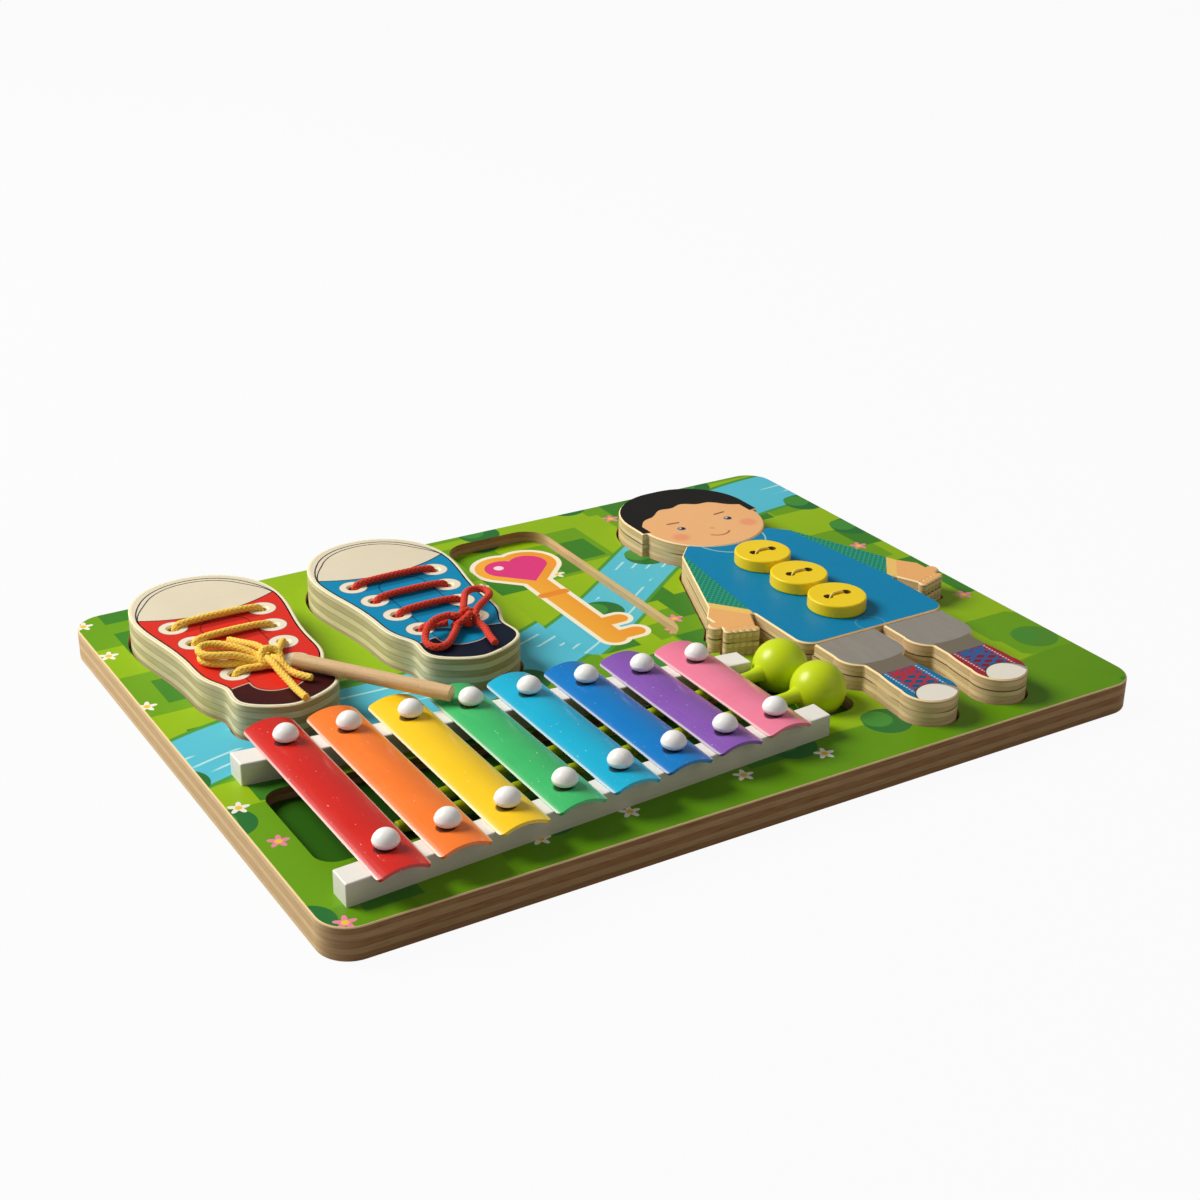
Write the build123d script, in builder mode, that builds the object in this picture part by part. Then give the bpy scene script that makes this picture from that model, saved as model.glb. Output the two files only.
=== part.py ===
from build123d import *
import math
import os

# Wooden activity panel: lacing shoes, xylophone, key tray and a dress-up doll on a plywood board.
# Millimetres. The origin is the middle of the board's underside, X runs along the long side,
# Y runs from the xylophone to the toes of the shoes and Z points up.

os.makedirs("parts", exist_ok=True)

# Board
board_length = 400.0
board_width = 300.0
board_corner_radius = 14.0
board_edge_round = 0.8
backing_thickness = 9.0
top_thickness = 6.0

# Grid on the board: what lies on it is placed and sized in these columns and rows
grid_columns = 400
grid_rows = 300
column = board_length / grid_columns
row = board_width / grid_rows
grid = min(column, row)

# Key tray
tray_center_x = 20.5 * column
tray_center_y = 66.0 * row
tray_width = 57.0 * column
tray_length = 148.0 * row
tray_corner_radius = 14.0 * grid

# Lacing shoes
red_shoe_x = -149.3 * column
blue_shoe_x = -60.0 * column
shoe_heel_y = -10.0 * row
shoe_length = 147.0 * row
shoe_toe_width = 71.0 * column
shoe_thickness = 22.0
shoe_recess_clearance = 1.3
shoe_edge_round = 0.6
# Half outline from heel to toe: share of half the toe width, share of the length
shoe_outline_shares = (
    (0.507, 0.048),
    (0.648, 0.088),
    (0.670, 0.136),
    (0.654, 0.190),
    (0.732, 0.238),
    (0.806, 0.293),
    (0.828, 0.388),
    (0.873, 0.510),
    (0.958, 0.626),
    (1.000, 0.741),
    (0.905, 0.857),
    (0.655, 0.941),
    (0.345, 0.986),
)
eyelet_rows = 4
eyelet_pitch = 18.8 * row
eyelet_heel_setback = 39.5 * row
eyelet_heel_half = 14.0 * column
eyelet_toe_half = 21.4 * column
eyelet_diameter = 5.2
eyelet_countersink = 0.9

# Laces
lace_diameter = 3.4
lace_seat_gap = 0.3
lace_hole_bend = 3.5
lace_bend_share = 0.45
groove_clearance = 0.8

# Knots: middle from the shoe's centre line, from its heel and above its top, half sizes, and where
# the two strands that come from the eyelets enter, as offsets from the middle
yellow_knot_x = 2.3
yellow_knot_from_heel = 38.0
yellow_knot_rise = 4.2
yellow_knot_half = (6.0, 5.5, 3.8)
yellow_first_strand = (3.6, 3.0, -1.0)
yellow_last_strand = (-4.6, -2.4, -1.0)
red_knot_x = 3.5
red_knot_from_heel = 31.0
red_knot_rise = 4.6
red_knot_half = (8.5, 5.5, 4.2)
red_first_strand = (5.0, 3.2, -1.0)
red_last_strand = (-6.7, 2.0, -1.6)

# Routes of the bows as offsets from the middle of the knot, chosen along the photographed laces
yellow_bow_routes = {
    "yellow_lace_upper_loop": [
        (-2.6, 4.2, 1.7),
        (-8.0, 11.5, 1.7),
        (-14.0, 19.5, 1.8),
        (-20.0, 22.0, 1.7),
        (-23.5, 18.0, 1.7),
        (-20.0, 12.5, 1.7),
        (-12.0, 7.8, 1.7),
        (-4.6, 0.6, 2.0),
    ],
    "yellow_lace_lower_loop": [
        (-4.6, 2.4, -1.7),
        (-11.0, 5.6, -2.1),
        (-18.0, 8.4, -2.2),
        (-24.5, 12.5, -2.2),
        (-26.0, 18.5, -2.2),
        (-22.0, 23.0, -2.2),
        (-15.0, 20.0, -2.2),
        (-8.4, 12.6, -2.1),
        (-0.9, 4.6, -1.4),
    ],
    "yellow_lace_back_tail": [
        (1.4, 3.8, 1.8),
        (-0.4, 13.0, 0.6),
        (-4.4, 21.6, -1.0),
        (-8.3, 29.6, -1.9),
    ],
    "yellow_lace_heel_tail": [
        (-1.0, -4.4, 1.2),
        (-1.4, -13.4, -0.6),
        (-0.6, -22.0, -1.9),
        (-0.9, -30.4, -2.2),
        (-0.2, -38.6, -2.0),
    ],
    "yellow_lace_side_tail": [
        (1.6, -4.0, -1.6),
        (3.2, -10.6, -2.2),
        (5.2, -17.2, -2.2),
        (9.4, -22.8, -2.2),
    ],
}
red_bow_routes = {
    "red_lace_left_loop": [
        (-5.5, 1.5, 2.4),
        (-12.5, 2.2, 2.4),
        (-19.1, -1.6, 0.6),
        (-23.7, -8.0, -1.8),
        (-23.9, -14.4, -2.5),
        (-18.9, -17.4, -2.6),
        (-12.5, -12.8, -2.6),
        (-4.9, -3.6, -1.6),
    ],
    "red_lace_right_loop": [
        (1.9, 3.2, 2.6),
        (6.9, 12.0, 2.6),
        (11.5, 20.0, 2.2),
        (17.5, 24.0, 1.4),
        (22.7, 21.4, 1.0),
        (22.7, 15.2, 1.2),
        (17.1, 9.8, 1.8),
        (6.1, 0.6, 2.0),
    ],
    "red_lace_heel_tail": [
        (4.5, -4.1, -0.8),
        (5.9, -10.6, -2.0),
        (4.1, -17.6, -2.6),
        (3.1, -25.0, -2.6),
    ],
}

# Xylophone rails, given at the two ends of their centre lines
rail_width = 12.0
rail_height = 10.0
rail_edge_round = 0.7
rail_left_x = -187.5 * column
rail_right_x = 44.5 * column
back_rail_left_y = -30.0 * row
back_rail_right_y = -58.0 * row
front_rail_left_y = -131.0 * row
front_rail_right_y = -115.7 * row

# Xylophone bars, longest first
bar_names = ("red", "orange", "yellow", "green", "light_blue", "blue", "purple", "pink")
bar_width = 21.0 * column
bar_rise = 3.0
bar_thickness = 1.5
bar_corner_radius = 2.5
bar_pitch = 26.6 * column
bar_first_x = -166.2 * column
bar_longest = 130.0 * row
bar_shortest = 90.0 * row
bar_longest_middle_y = -78.0 * row
bar_shortest_middle_y = -82.0 * row
bar_hole_diameter = 4.0

# Mushroom pins that hold the bars
pin_shank_diameter = 3.2
pin_shank_depth = 8.0
pin_cap_seat_diameter = 5.6
pin_cap_diameter = 10.8
pin_cap_height = 6.9
back_pin_inset = 0.5
front_pin_inset = 3.0

# Screws through the board into the rails
screw_shank_diameter = 3.5
screw_head_diameter = 7.0
screw_head_height = 2.4
screw_bite = 7.0

# Mallet channel between the rails and the pocket of the mallet heads
channel_left_x = -184.0 * column
channel_back_left_y = -44.0 * row
channel_back_right_y = -66.0 * row
channel_front_left_y = -107.0 * row
channel_front_right_y = -108.0 * row
channel_corner_radius = 9.0 * grid
pocket_left_x = 46.0 * column
pocket_right_x = 73.0 * column
pocket_back_y = -54.5 * row

# Mallets
mallet_ball_diameter = 25.0 * grid
mallet_stick_diameter = 5.6
mallet_neck_diameter = 8.2
mallet_neck_length = 5.0
mallet_tip_round = 1.2
mallet_socket_depth = 9.0
mallet_seat_gap = 0.25
front_mallet_head_x = 58.5 * column
front_mallet_head_y = -94.5 * row
front_mallet_tip_x = -146.0 * column
front_mallet_tip_y = -92.0 * row
back_mallet_head_x = 57.0 * column
back_mallet_head_y = -68.4 * row
back_mallet_tip_x = -128.0 * column
back_mallet_tip_y = -79.0 * row

# Loose wooden stick that leans from the red shoe, beside the knot, to the green bar, beside its pin
stick_diameter = 6.8
stick_end_round = 0.6
stick_from_knot_x = 7.4
stick_from_knot_y = -7.2
stick_left_rise = 1.15
stick_bar = "green"
stick_from_pin_x = -6.2
stick_from_pin_y = 5.0

# Doll
doll_x = 114.5 * column
doll_recess_clearance = 1.3
doll_base_thickness = 12.0
doll_piece_thickness = 6.0
doll_piece_gap = 1.0
doll_edge_chamfer = 0.6
head_width = 72.0 * column
head_top_y = 127.0 * row
hair_step = 3.0 * column
hair_bottom_y = 80.0 * row
hair_step_round_share = 0.3
chin_y = 47.0 * row
head_brow_radius = 33.0 * grid
shirt_hem_y = -66.0 * row
shirt_length = 115.0 * row
shirt_span = 142.0 * column
shirt_hem_radius = 8.0 * grid
shirt_shoulder_radius = 7.0 * grid
shirt_armpit_radius = 1.2
# Half outline of the shirt from collar to hem: share of half the span, share of the length
shirt_collar_share = (0.352, 1.062)
shirt_shoulder_share = (0.480, 0.980)
shirt_cuff_outer_share = (0.800, 0.487)
shirt_wrist_outer_share = (0.895, 0.413)
shirt_palm_outer_share = (0.900, 0.285)
shirt_palm_inner_share = (0.690, 0.248)
shirt_armpit_share = (0.585, 0.385)
shirt_hem_share = (0.592, 0.000)
finger_radius = 2.4 * grid
finger_count = 5
finger_first_share = (0.882, 0.270)
finger_last_share = (0.712, 0.236)
thumb_radius = 3.6 * grid
thumb_share = (0.912, 0.332)
leg_spacing = 40.0 * column
leg_length = 73.0 * row
thigh_width = 34.5 * column
thigh_straight = 15.0 * row
thigh_hem_drop = 29.0 * row
thigh_hem_bulge_share = 0.72
shin_width = 22.0 * column
shin_drop = 39.0 * row
foot_width = 25.0 * column
foot_drop = 56.0 * row
foot_flare_share = 0.75
leg_corner_round = 2.0 * grid
leg_overlap = 12.0 * row

# Buttons that turn on pegs in the shirt
button_count = 3
button_x = 110.8 * column
button_first_y = 20.3 * row
button_pitch = 30.0 * row
button_diameter = 28.0 * grid
button_thickness = 6.5
button_edge_round = 0.9
button_hole_diameter = 4.4
button_hole_half_spacing = 5.3
button_peg_diameter = 3.5
button_peg_clearance = 0.2
button_peg_depth = 4.0
button_peg_rise = 4.5
button_peg_headroom = 0.5

# Heights and places that follow from the sizes above
board_top_z = backing_thickness + top_thickness
shoe_top_z = backing_thickness + shoe_thickness
rail_top_z = board_top_z + rail_height
bar_crown_z = rail_top_z + bar_rise + bar_thickness
doll_base_top_z = backing_thickness + doll_base_thickness
doll_top_z = doll_base_top_z + doll_piece_thickness
lace_radius = lace_diameter / 2
lace_top_z = shoe_top_z + lace_seat_gap + lace_radius
lace_low_z = backing_thickness + lace_seat_gap + lace_radius
groove_depth = lace_diameter + 2 * lace_seat_gap
groove_width = lace_diameter + 2 * groove_clearance
mallet_ball_z = backing_thickness + mallet_seat_gap + mallet_ball_diameter / 2
mallet_tip_z = backing_thickness + mallet_seat_gap + mallet_stick_diameter / 2


def save(builder, name):
    """Label a finished piece and write it."""
    builder.part.label = name
    export_step(builder.part, f"parts/{name}.step")


def upright(x, y, z=0.0):
    """Plane through a point whose local Y axis points up, facing the front of the board."""
    return Plane(origin=(x, y, z), x_dir=(1, 0, 0), z_dir=(0, -1, 0))


# Lacing shoes


def draw_shoe(clearance=0.0):
    """Outline of a shoe with the heel at the origin, toe along +Y."""
    half_width = shoe_toe_width / 2
    right = []
    for width_share, length_share in shoe_outline_shares:
        grown_y = length_share * (shoe_length + 2 * clearance) - clearance
        right.append((width_share * half_width + clearance, grown_y))
    left = [(-x, y) for x, y in reversed(right)]
    with BuildLine() as outline:
        Spline((0, -clearance), *right, (0, shoe_length + clearance), *left, periodic=True)
    make_face(outline.edges())


def eyelet(shoe_x, side, eyelet_row):
    """Centre of an eyelet; side is -1 or 1, eyelet row 0 is next to the toe cap."""
    rows_from_heel = eyelet_rows - 1 - eyelet_row
    toe_share = rows_from_heel / (eyelet_rows - 1)
    half = eyelet_heel_half + (eyelet_toe_half - eyelet_heel_half) * toe_share
    return shoe_x + side * half, shoe_heel_y + eyelet_heel_setback + eyelet_pitch * rows_from_heel


def under_runs(threading):
    """Pairs of eyelets between which the lace runs under the shoe."""
    downs = [hole for hole in threading if hole[2] == "down"]
    ups = [hole for hole in threading if hole[2] == "up"]
    return list(zip(downs, ups))


def make_shoe(name, shoe_x, threading):
    with BuildPart() as shoe:
        with BuildSketch(Plane(origin=(shoe_x, shoe_heel_y, backing_thickness))):
            draw_shoe()
        extrude(amount=shoe_thickness)
        fillet(shoe.faces().sort_by(Axis.Z)[-1].edges(), shoe_edge_round)
        holes = [eyelet(shoe_x, side, number) for side in (-1, 1) for number in range(eyelet_rows)]
        with BuildSketch(Plane.XY.offset(backing_thickness)):
            with Locations(*holes):
                Circle(eyelet_diameter / 2)
        extrude(amount=shoe_thickness, mode=Mode.SUBTRACT)
        for start, end in under_runs(threading):
            a = Vector(*eyelet(shoe_x, *start[:2]))
            b = Vector(*eyelet(shoe_x, *end[:2]))
            run = b - a
            middle = (a + b) / 2
            with BuildSketch(Plane(origin=(middle.X, middle.Y, backing_thickness), x_dir=run)):
                SlotCenterToCenter(run.length, groove_width)
            extrude(amount=groove_depth, mode=Mode.SUBTRACT)
        rims = shoe.faces().sort_by(Axis.Z)[-1].edges().filter_by(GeomType.CIRCLE)
        chamfer(rims, eyelet_countersink)
    save(shoe, name)


# Lacing order: eyelet side, eyelet row, way through the shoe
yellow_threading = (
    (1, 2, "down"),
    (1, 1, "up"),
    (-1, 1, "down"),
    (-1, 0, "up"),
    (1, 0, "down"),
    (-1, 3, "up"),
)
red_threading = (
    (1, 3, "down"),
    (1, 2, "up"),
    (-1, 2, "down"),
    (-1, 1, "up"),
    (1, 1, "down"),
    (1, 0, "up"),
    (-1, 0, "down"),
    (-1, 3, "up"),
)
make_shoe("red_shoe", red_shoe_x, yellow_threading)
make_shoe("blue_shoe", blue_shoe_x, red_threading)


# Laces


def sweep_lace(name, points, radii):
    """Round lace along straight runs joined by arcs, compared with section times length."""
    with BuildPart() as lace:
        with BuildLine():
            path = FilletPolyline(*points, radius=radii)
        with BuildSketch(Plane(origin=path @ 0, z_dir=path % 0)):
            Circle(lace_radius)
        sweep(path=path)
    length = path.length
    volume_ratio = lace.part.volume / (math.pi * lace_radius**2 * length)
    shown = [round(radius, 1) for radius in radii]
    print(f"{name}: length {length:.1f}, volume ratio {volume_ratio:.4f}, radii {shown}")
    save(lace, name)


def make_lace_run(name, shoe_x, threading, knot_start, knot_end):
    """Lace threaded through the eyelets, from one side of the knot to the other."""
    points = [knot_start]
    for side, number, way in threading:
        x, y = eyelet(shoe_x, side, number)
        heights = (lace_top_z, lace_low_z) if way == "down" else (lace_low_z, lace_top_z)
        points += [Vector(x, y, z) for z in heights]
    points.append(knot_end)
    sweep_lace(name, points, [lace_hole_bend] * (len(points) - 2))


def make_free_lace(name, points):
    """Loop or tail of a bow: each arc is as large as its two runs allow."""
    radii = []
    for before, corner, after in zip(points, points[1:], points[2:]):
        turn = (corner - before).get_angle(after - corner)
        shorter = min((corner - before).length, (after - corner).length)
        radii.append(lace_bend_share * shorter / math.tan(math.radians(turn) / 2))
    sweep_lace(name, points, radii)


def make_knot(name, center, half_sizes):
    """Closed solid of a tied knot: a squashed ball."""
    half_x, half_y, half_z = half_sizes
    with BuildPart() as ball:
        with BuildSketch(Plane.XZ):
            with BuildLine():
                EllipticalCenterArc((0, 0), half_x, half_z, start_angle=-90, arc_size=180)
                Line((0, half_z), (0, -half_z))
            make_face()
        revolve(axis=Axis.Z)
        scale(by=(1, half_y / half_x, 1))
    with BuildPart() as knot:
        add(ball.part.moved(Location(center)))
    save(knot, name)


def make_lace(colour, shoe_x, threading, knot, half_sizes, first_strand, last_strand, routes):
    """Whole lace of a shoe: threaded run, knot, loops and tails."""
    start = knot + Vector(*first_strand)
    end = knot + Vector(*last_strand)
    make_lace_run(f"{colour}_lace_run", shoe_x, threading, start, end)
    make_knot(f"{colour}_lace_knot", knot, half_sizes)
    for name, offsets in routes.items():
        make_free_lace(name, [knot + Vector(*offset) for offset in offsets])


yellow_knot = Vector(
    red_shoe_x + yellow_knot_x, shoe_heel_y + yellow_knot_from_heel * row, shoe_top_z + yellow_knot_rise
)
red_knot = Vector(
    blue_shoe_x + red_knot_x, shoe_heel_y + red_knot_from_heel * row, shoe_top_z + red_knot_rise
)
make_lace(
    "yellow",
    red_shoe_x,
    yellow_threading,
    yellow_knot,
    yellow_knot_half,
    yellow_first_strand,
    yellow_last_strand,
    yellow_bow_routes,
)
make_lace(
    "red",
    blue_shoe_x,
    red_threading,
    red_knot,
    red_knot_half,
    red_first_strand,
    red_last_strand,
    red_bow_routes,
)


# Doll


def shirt_point(share):
    """Point of the shirt's right half from its share of the span and the length."""
    return share[0] * shirt_span / 2, shirt_hem_y + share[1] * shirt_length


def draw_head():
    """Rounded cap of hair, stepping in to a narrower face with a round chin."""
    half = head_width / 2
    face = half - hair_step
    step_round = hair_step * hair_step_round_share
    brow_y = head_top_y - head_brow_radius
    with BuildSketch(mode=Mode.PRIVATE) as head:
        with BuildLine():
            for way in (-1, 1):
                Line((0, head_top_y), (way * (half - head_brow_radius), head_top_y))
                CenterArc((way * (half - head_brow_radius), brow_y), head_brow_radius, 90, -90 * way)
                Line((way * half, brow_y), (way * half, hair_bottom_y))
                Line((way * half, hair_bottom_y), (way * face, hair_bottom_y))
            ThreePointArc((-face, hair_bottom_y), (0, chin_y), (face, hair_bottom_y))
        make_face()
        step = [v for v in head.vertices() if abs(v.Y - hair_bottom_y) < step_round]
        fillet(step, step_round)
    add(head.sketch)


def hand_circles():
    """Places and radii of the fingertips and thumbs of both hands."""
    first = Vector(*shirt_point(finger_first_share))
    last = Vector(*shirt_point(finger_last_share))
    tips = [first + (last - first) * (finger / (finger_count - 1)) for finger in range(finger_count)]
    circles = [((tip.X, tip.Y), finger_radius) for tip in tips]
    circles.append((shirt_point(thumb_share), thumb_radius))
    return circles + [((-x, y), radius) for (x, y), radius in circles]


def draw_shirt_body():
    """Shirt with sleeves and palms, seen from above."""
    hem = shirt_point(shirt_hem_share)
    corners = [
        shirt_point(shirt_collar_share),
        shirt_point(shirt_shoulder_share),
        shirt_point(shirt_cuff_outer_share),
        shirt_point(shirt_wrist_outer_share),
        shirt_point(shirt_palm_outer_share),
        shirt_point(shirt_palm_inner_share),
        shirt_point(shirt_armpit_share),
        hem,
    ]
    collar_y = corners[0][1]
    with BuildSketch(mode=Mode.PRIVATE) as half_shirt:
        with BuildLine():
            Polyline((0, shirt_hem_y), (0, collar_y), *corners, close=True)
        make_face()
        for corner, radius in (
            (corners[1], shirt_shoulder_radius),
            (corners[6], shirt_armpit_radius),
            (hem, shirt_hem_radius),
        ):
            nearest = half_shirt.vertices().sort_by_distance((corner[0], corner[1], 0))[0]
            fillet(nearest, radius)
        mirror(about=Plane.YZ)
    add(half_shirt.sketch)


def draw_hand_circle(place, radius):
    with Locations(place):
        Circle(radius)


def draw_leg(side, top_y, grow=0.0):
    """Trouser leg with its shoe; side is -1 or 1, grow widens it all round below the top."""
    thigh = thigh_width / 2 + grow
    shin = shin_width / 2 + grow
    foot = foot_width / 2 + grow
    knee_y = shirt_hem_y - thigh_straight
    hem_y = shirt_hem_y - thigh_hem_drop - grow
    ankle_y = shirt_hem_y - shin_drop
    instep_y = shirt_hem_y - foot_drop
    tip_y = shirt_hem_y - leg_length - grow
    bulge_x = shin + (thigh - shin) * thigh_hem_bulge_share
    bulge_y = knee_y + (hem_y - knee_y) * thigh_hem_bulge_share
    flare_x = shin + (foot - shin) * foot_flare_share
    flare_y = (ankle_y + instep_y) / 2
    with BuildSketch(mode=Mode.PRIVATE) as leg:
        with BuildLine():
            Line((-thigh, top_y), (thigh, top_y))
            for way in (-1, 1):
                Line((way * thigh, top_y), (way * thigh, knee_y))
                ThreePointArc((way * thigh, knee_y), (way * bulge_x, bulge_y), (way * shin, hem_y))
                Line((way * shin, hem_y), (way * shin, ankle_y))
                ThreePointArc((way * shin, ankle_y), (way * flare_x, flare_y), (way * foot, instep_y))
            ThreePointArc((-foot, instep_y), (0, tip_y), (foot, instep_y))
        make_face()
        fillet(leg.vertices().group_by(Axis.Y)[:3], leg_corner_round)
    add(leg.sketch.moved(Location((side * leg_spacing / 2, 0))))


def raise_piece(draw, *sizes):
    """One of the doll's pieces from its outline, with its upper edge broken."""
    with BuildPart(mode=Mode.PRIVATE) as piece:
        with BuildSketch(Plane(origin=(doll_x, 0, doll_base_top_z))):
            draw(*sizes)
        extrude(amount=doll_piece_thickness)
        chamfer(piece.faces().sort_by(Axis.Z)[-1].edges(), doll_edge_chamfer)
    return piece.part


button_places = [(button_x, button_first_y - index * button_pitch) for index in range(button_count)]

with BuildPart() as doll_base:
    with BuildSketch(Plane(origin=(doll_x, 0, backing_thickness))):
        draw_head()
        draw_shirt_body()
        for place, radius in hand_circles():
            draw_hand_circle(place, radius)
        for side in (-1, 1):
            draw_leg(side, shirt_hem_y + leg_overlap)
    extrude(amount=doll_base_thickness)
save(doll_base, "doll_base")

with BuildPart() as doll_head:
    add(raise_piece(draw_head))
save(doll_head, "doll_head")

with BuildPart() as doll_shirt:
    add(raise_piece(draw_shirt_body))
    for place, radius in hand_circles():
        add(raise_piece(draw_hand_circle, place, radius))
    with BuildSketch(Plane(origin=(doll_x, 0, doll_base_top_z))):
        draw_head()
        offset(amount=doll_piece_gap)
    extrude(amount=doll_piece_thickness, mode=Mode.SUBTRACT)
    with BuildSketch(Plane.XY.offset(doll_top_z)):
        with Locations(*button_places):
            Circle(button_peg_diameter / 2)
    extrude(amount=-button_peg_depth, mode=Mode.SUBTRACT)
save(doll_shirt, "doll_shirt")

for side, leg_name in ((-1, "doll_left_leg"), (1, "doll_right_leg")):
    with BuildPart() as doll_leg:
        add(raise_piece(draw_leg, side, shirt_hem_y - doll_piece_gap))
    save(doll_leg, leg_name)

# Buttons and their pegs

with BuildPart() as button_pegs:
    with BuildSketch(Plane.XY.offset(doll_top_z - button_peg_depth)):
        with Locations(*button_places):
            Circle(button_peg_diameter / 2)
    extrude(amount=button_peg_depth + button_peg_rise)
save(button_pegs, "button_pegs")

for index, (x, y) in enumerate(button_places):
    with BuildPart() as button:
        with BuildSketch(Plane(origin=(x, y, doll_top_z))):
            Circle(button_diameter / 2)
        extrude(amount=button_thickness)
        rims = button.edges().filter_by(GeomType.CIRCLE)
        fillet(rims, button_edge_round)
        with BuildSketch(Plane(origin=(x, y, doll_top_z))):
            with Locations((-button_hole_half_spacing, 0), (button_hole_half_spacing, 0)):
                Circle(button_hole_diameter / 2)
        extrude(amount=button_thickness, mode=Mode.SUBTRACT)
        with BuildSketch(Plane(origin=(x, y, doll_top_z))):
            Circle((button_peg_diameter + button_peg_clearance) / 2)
        extrude(amount=button_peg_rise + button_peg_headroom, mode=Mode.SUBTRACT)
    save(button, f"button_{index + 1}")

# Xylophone


def along_rail(left_y, right_y, x):
    """Y of a rail's centre line at a given x."""
    return left_y + (right_y - left_y) * (x - rail_left_x) / (rail_right_x - rail_left_x)


bar_places = [bar_first_x + index * bar_pitch for index in range(len(bar_names))]
back_pin_places = []
front_pin_places = []
for x in bar_places:
    back_pin_places.append((x, along_rail(back_rail_left_y, back_rail_right_y, x) - back_pin_inset))
    front_pin_places.append((x, along_rail(front_rail_left_y, front_rail_right_y, x) + front_pin_inset))

# One screw near each end of a rail, between two bars
back_screw_places = []
front_screw_places = []
for gap in (1, len(bar_names) - 2):
    x = (bar_places[gap - 1] + bar_places[gap]) / 2
    back_screw_places.append((x, along_rail(back_rail_left_y, back_rail_right_y, x)))
    front_screw_places.append((x, along_rail(front_rail_left_y, front_rail_right_y, x)))
screw_places = back_screw_places + front_screw_places


def make_rail(name, left_y, right_y, pin_places, rail_screw_places):
    half = rail_width / 2
    with BuildPart() as rail:
        with BuildSketch(Plane.XY.offset(board_top_z)):
            with BuildLine():
                Polyline(
                    (rail_left_x, left_y - half),
                    (rail_right_x, right_y - half),
                    (rail_right_x, right_y + half),
                    (rail_left_x, left_y + half),
                    close=True,
                )
            make_face()
        extrude(amount=rail_height)
        fillet(rail.edges().group_by(Axis.Z)[1:], rail_edge_round)
        with BuildSketch(Plane.XY.offset(rail_top_z)):
            with Locations(*pin_places):
                Circle(pin_shank_diameter / 2)
        extrude(amount=-pin_shank_depth, mode=Mode.SUBTRACT)
        with BuildSketch(Plane.XY.offset(board_top_z)):
            with Locations(*rail_screw_places):
                Circle(screw_shank_diameter / 2)
        extrude(amount=screw_bite, mode=Mode.SUBTRACT)
    save(rail, name)


make_rail("back_rail", back_rail_left_y, back_rail_right_y, back_pin_places, back_screw_places)
make_rail("front_rail", front_rail_left_y, front_rail_right_y, front_pin_places, front_screw_places)

bar_inner_radius = ((bar_width / 2) ** 2 + bar_rise**2) / (2 * bar_rise)
bar_outer_radius = bar_inner_radius + bar_thickness
for index, bar_name in enumerate(bar_names):
    x = bar_places[index]
    step_share = index / (len(bar_names) - 1)
    length = bar_longest + (bar_shortest - bar_longest) * step_share
    middle_y = bar_longest_middle_y + (bar_shortest_middle_y - bar_longest_middle_y) * step_share
    half = bar_width / 2
    outer_half = half * bar_outer_radius / bar_inner_radius
    outer_drop = bar_outer_radius - math.sqrt(bar_outer_radius**2 - outer_half**2)
    outer_edge_z = bar_rise + bar_thickness - outer_drop
    with BuildPart() as bar:
        with BuildSketch(upright(x, middle_y + length / 2, rail_top_z)):
            with BuildLine():
                ThreePointArc((-half, 0), (0, bar_rise), (half, 0))
                Line((half, 0), (outer_half, outer_edge_z))
                crown = (0, bar_rise + bar_thickness)
                ThreePointArc((outer_half, outer_edge_z), crown, (-outer_half, outer_edge_z))
                Line((-outer_half, outer_edge_z), (-half, 0))
            make_face()
        extrude(amount=length)
        fillet(bar.edges().group_by(SortBy.LENGTH)[0], bar_corner_radius)
        with BuildSketch(Plane.XY.offset(rail_top_z)):
            with Locations(back_pin_places[index], front_pin_places[index]):
                Circle(bar_hole_diameter / 2)
        extrude(amount=bar_rise + 2 * bar_thickness, mode=Mode.SUBTRACT)
    save(bar, f"bar_{bar_name}")


def make_pins(name, places):
    """Pins with an egg-shaped cap that sits on the crown of the bars."""
    shank = pin_shank_diameter / 2
    seat = pin_cap_seat_diameter / 2
    cap = pin_cap_diameter / 2
    tip_z = rail_top_z - pin_shank_depth
    under_round = cap - seat
    rim_z = bar_crown_z + under_round
    top_z = bar_crown_z + pin_cap_height
    dome = pin_cap_height - under_round
    dome_radius = (cap**2 + dome**2) / (2 * dome)
    dome_angle = math.degrees(math.atan2(cap, dome_radius - dome))
    with BuildPart() as pins:
        for x, y in places:
            with BuildSketch(upright(x, y)):
                with BuildLine():
                    Polyline((0, tip_z), (shank, tip_z), (shank, bar_crown_z), (seat, bar_crown_z))
                    CenterArc((seat, rim_z), under_round, -90, 90)
                    CenterArc((0, top_z - dome_radius), dome_radius, 90 - dome_angle, dome_angle)
                    Line((0, top_z), (0, tip_z))
                make_face()
            revolve(axis=Axis((x, y, 0), (0, 0, 1)))
    save(pins, name)


make_pins("back_pins", back_pin_places)
make_pins("front_pins", front_pin_places)


def revolve_screws(mode=Mode.ADD):
    """Countersunk screws, pointing up from the underside of the board."""
    shank = screw_shank_diameter / 2
    head = screw_head_diameter / 2
    tip_z = board_top_z + screw_bite
    for x, y in screw_places:
        with BuildSketch(upright(x, y)) as profile:
            with BuildLine():
                Polyline((0, 0), (head, 0), (shank, screw_head_height), (shank, tip_z))
                Polyline((shank, tip_z), (0, tip_z), (0, 0))
            make_face()
        revolve(profile.sketch, axis=Axis((x, y, 0), (0, 0, 1)), mode=mode)


with BuildPart() as rail_screws:
    revolve_screws()
save(rail_screws, "rail_screws")


# Mallets


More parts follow.
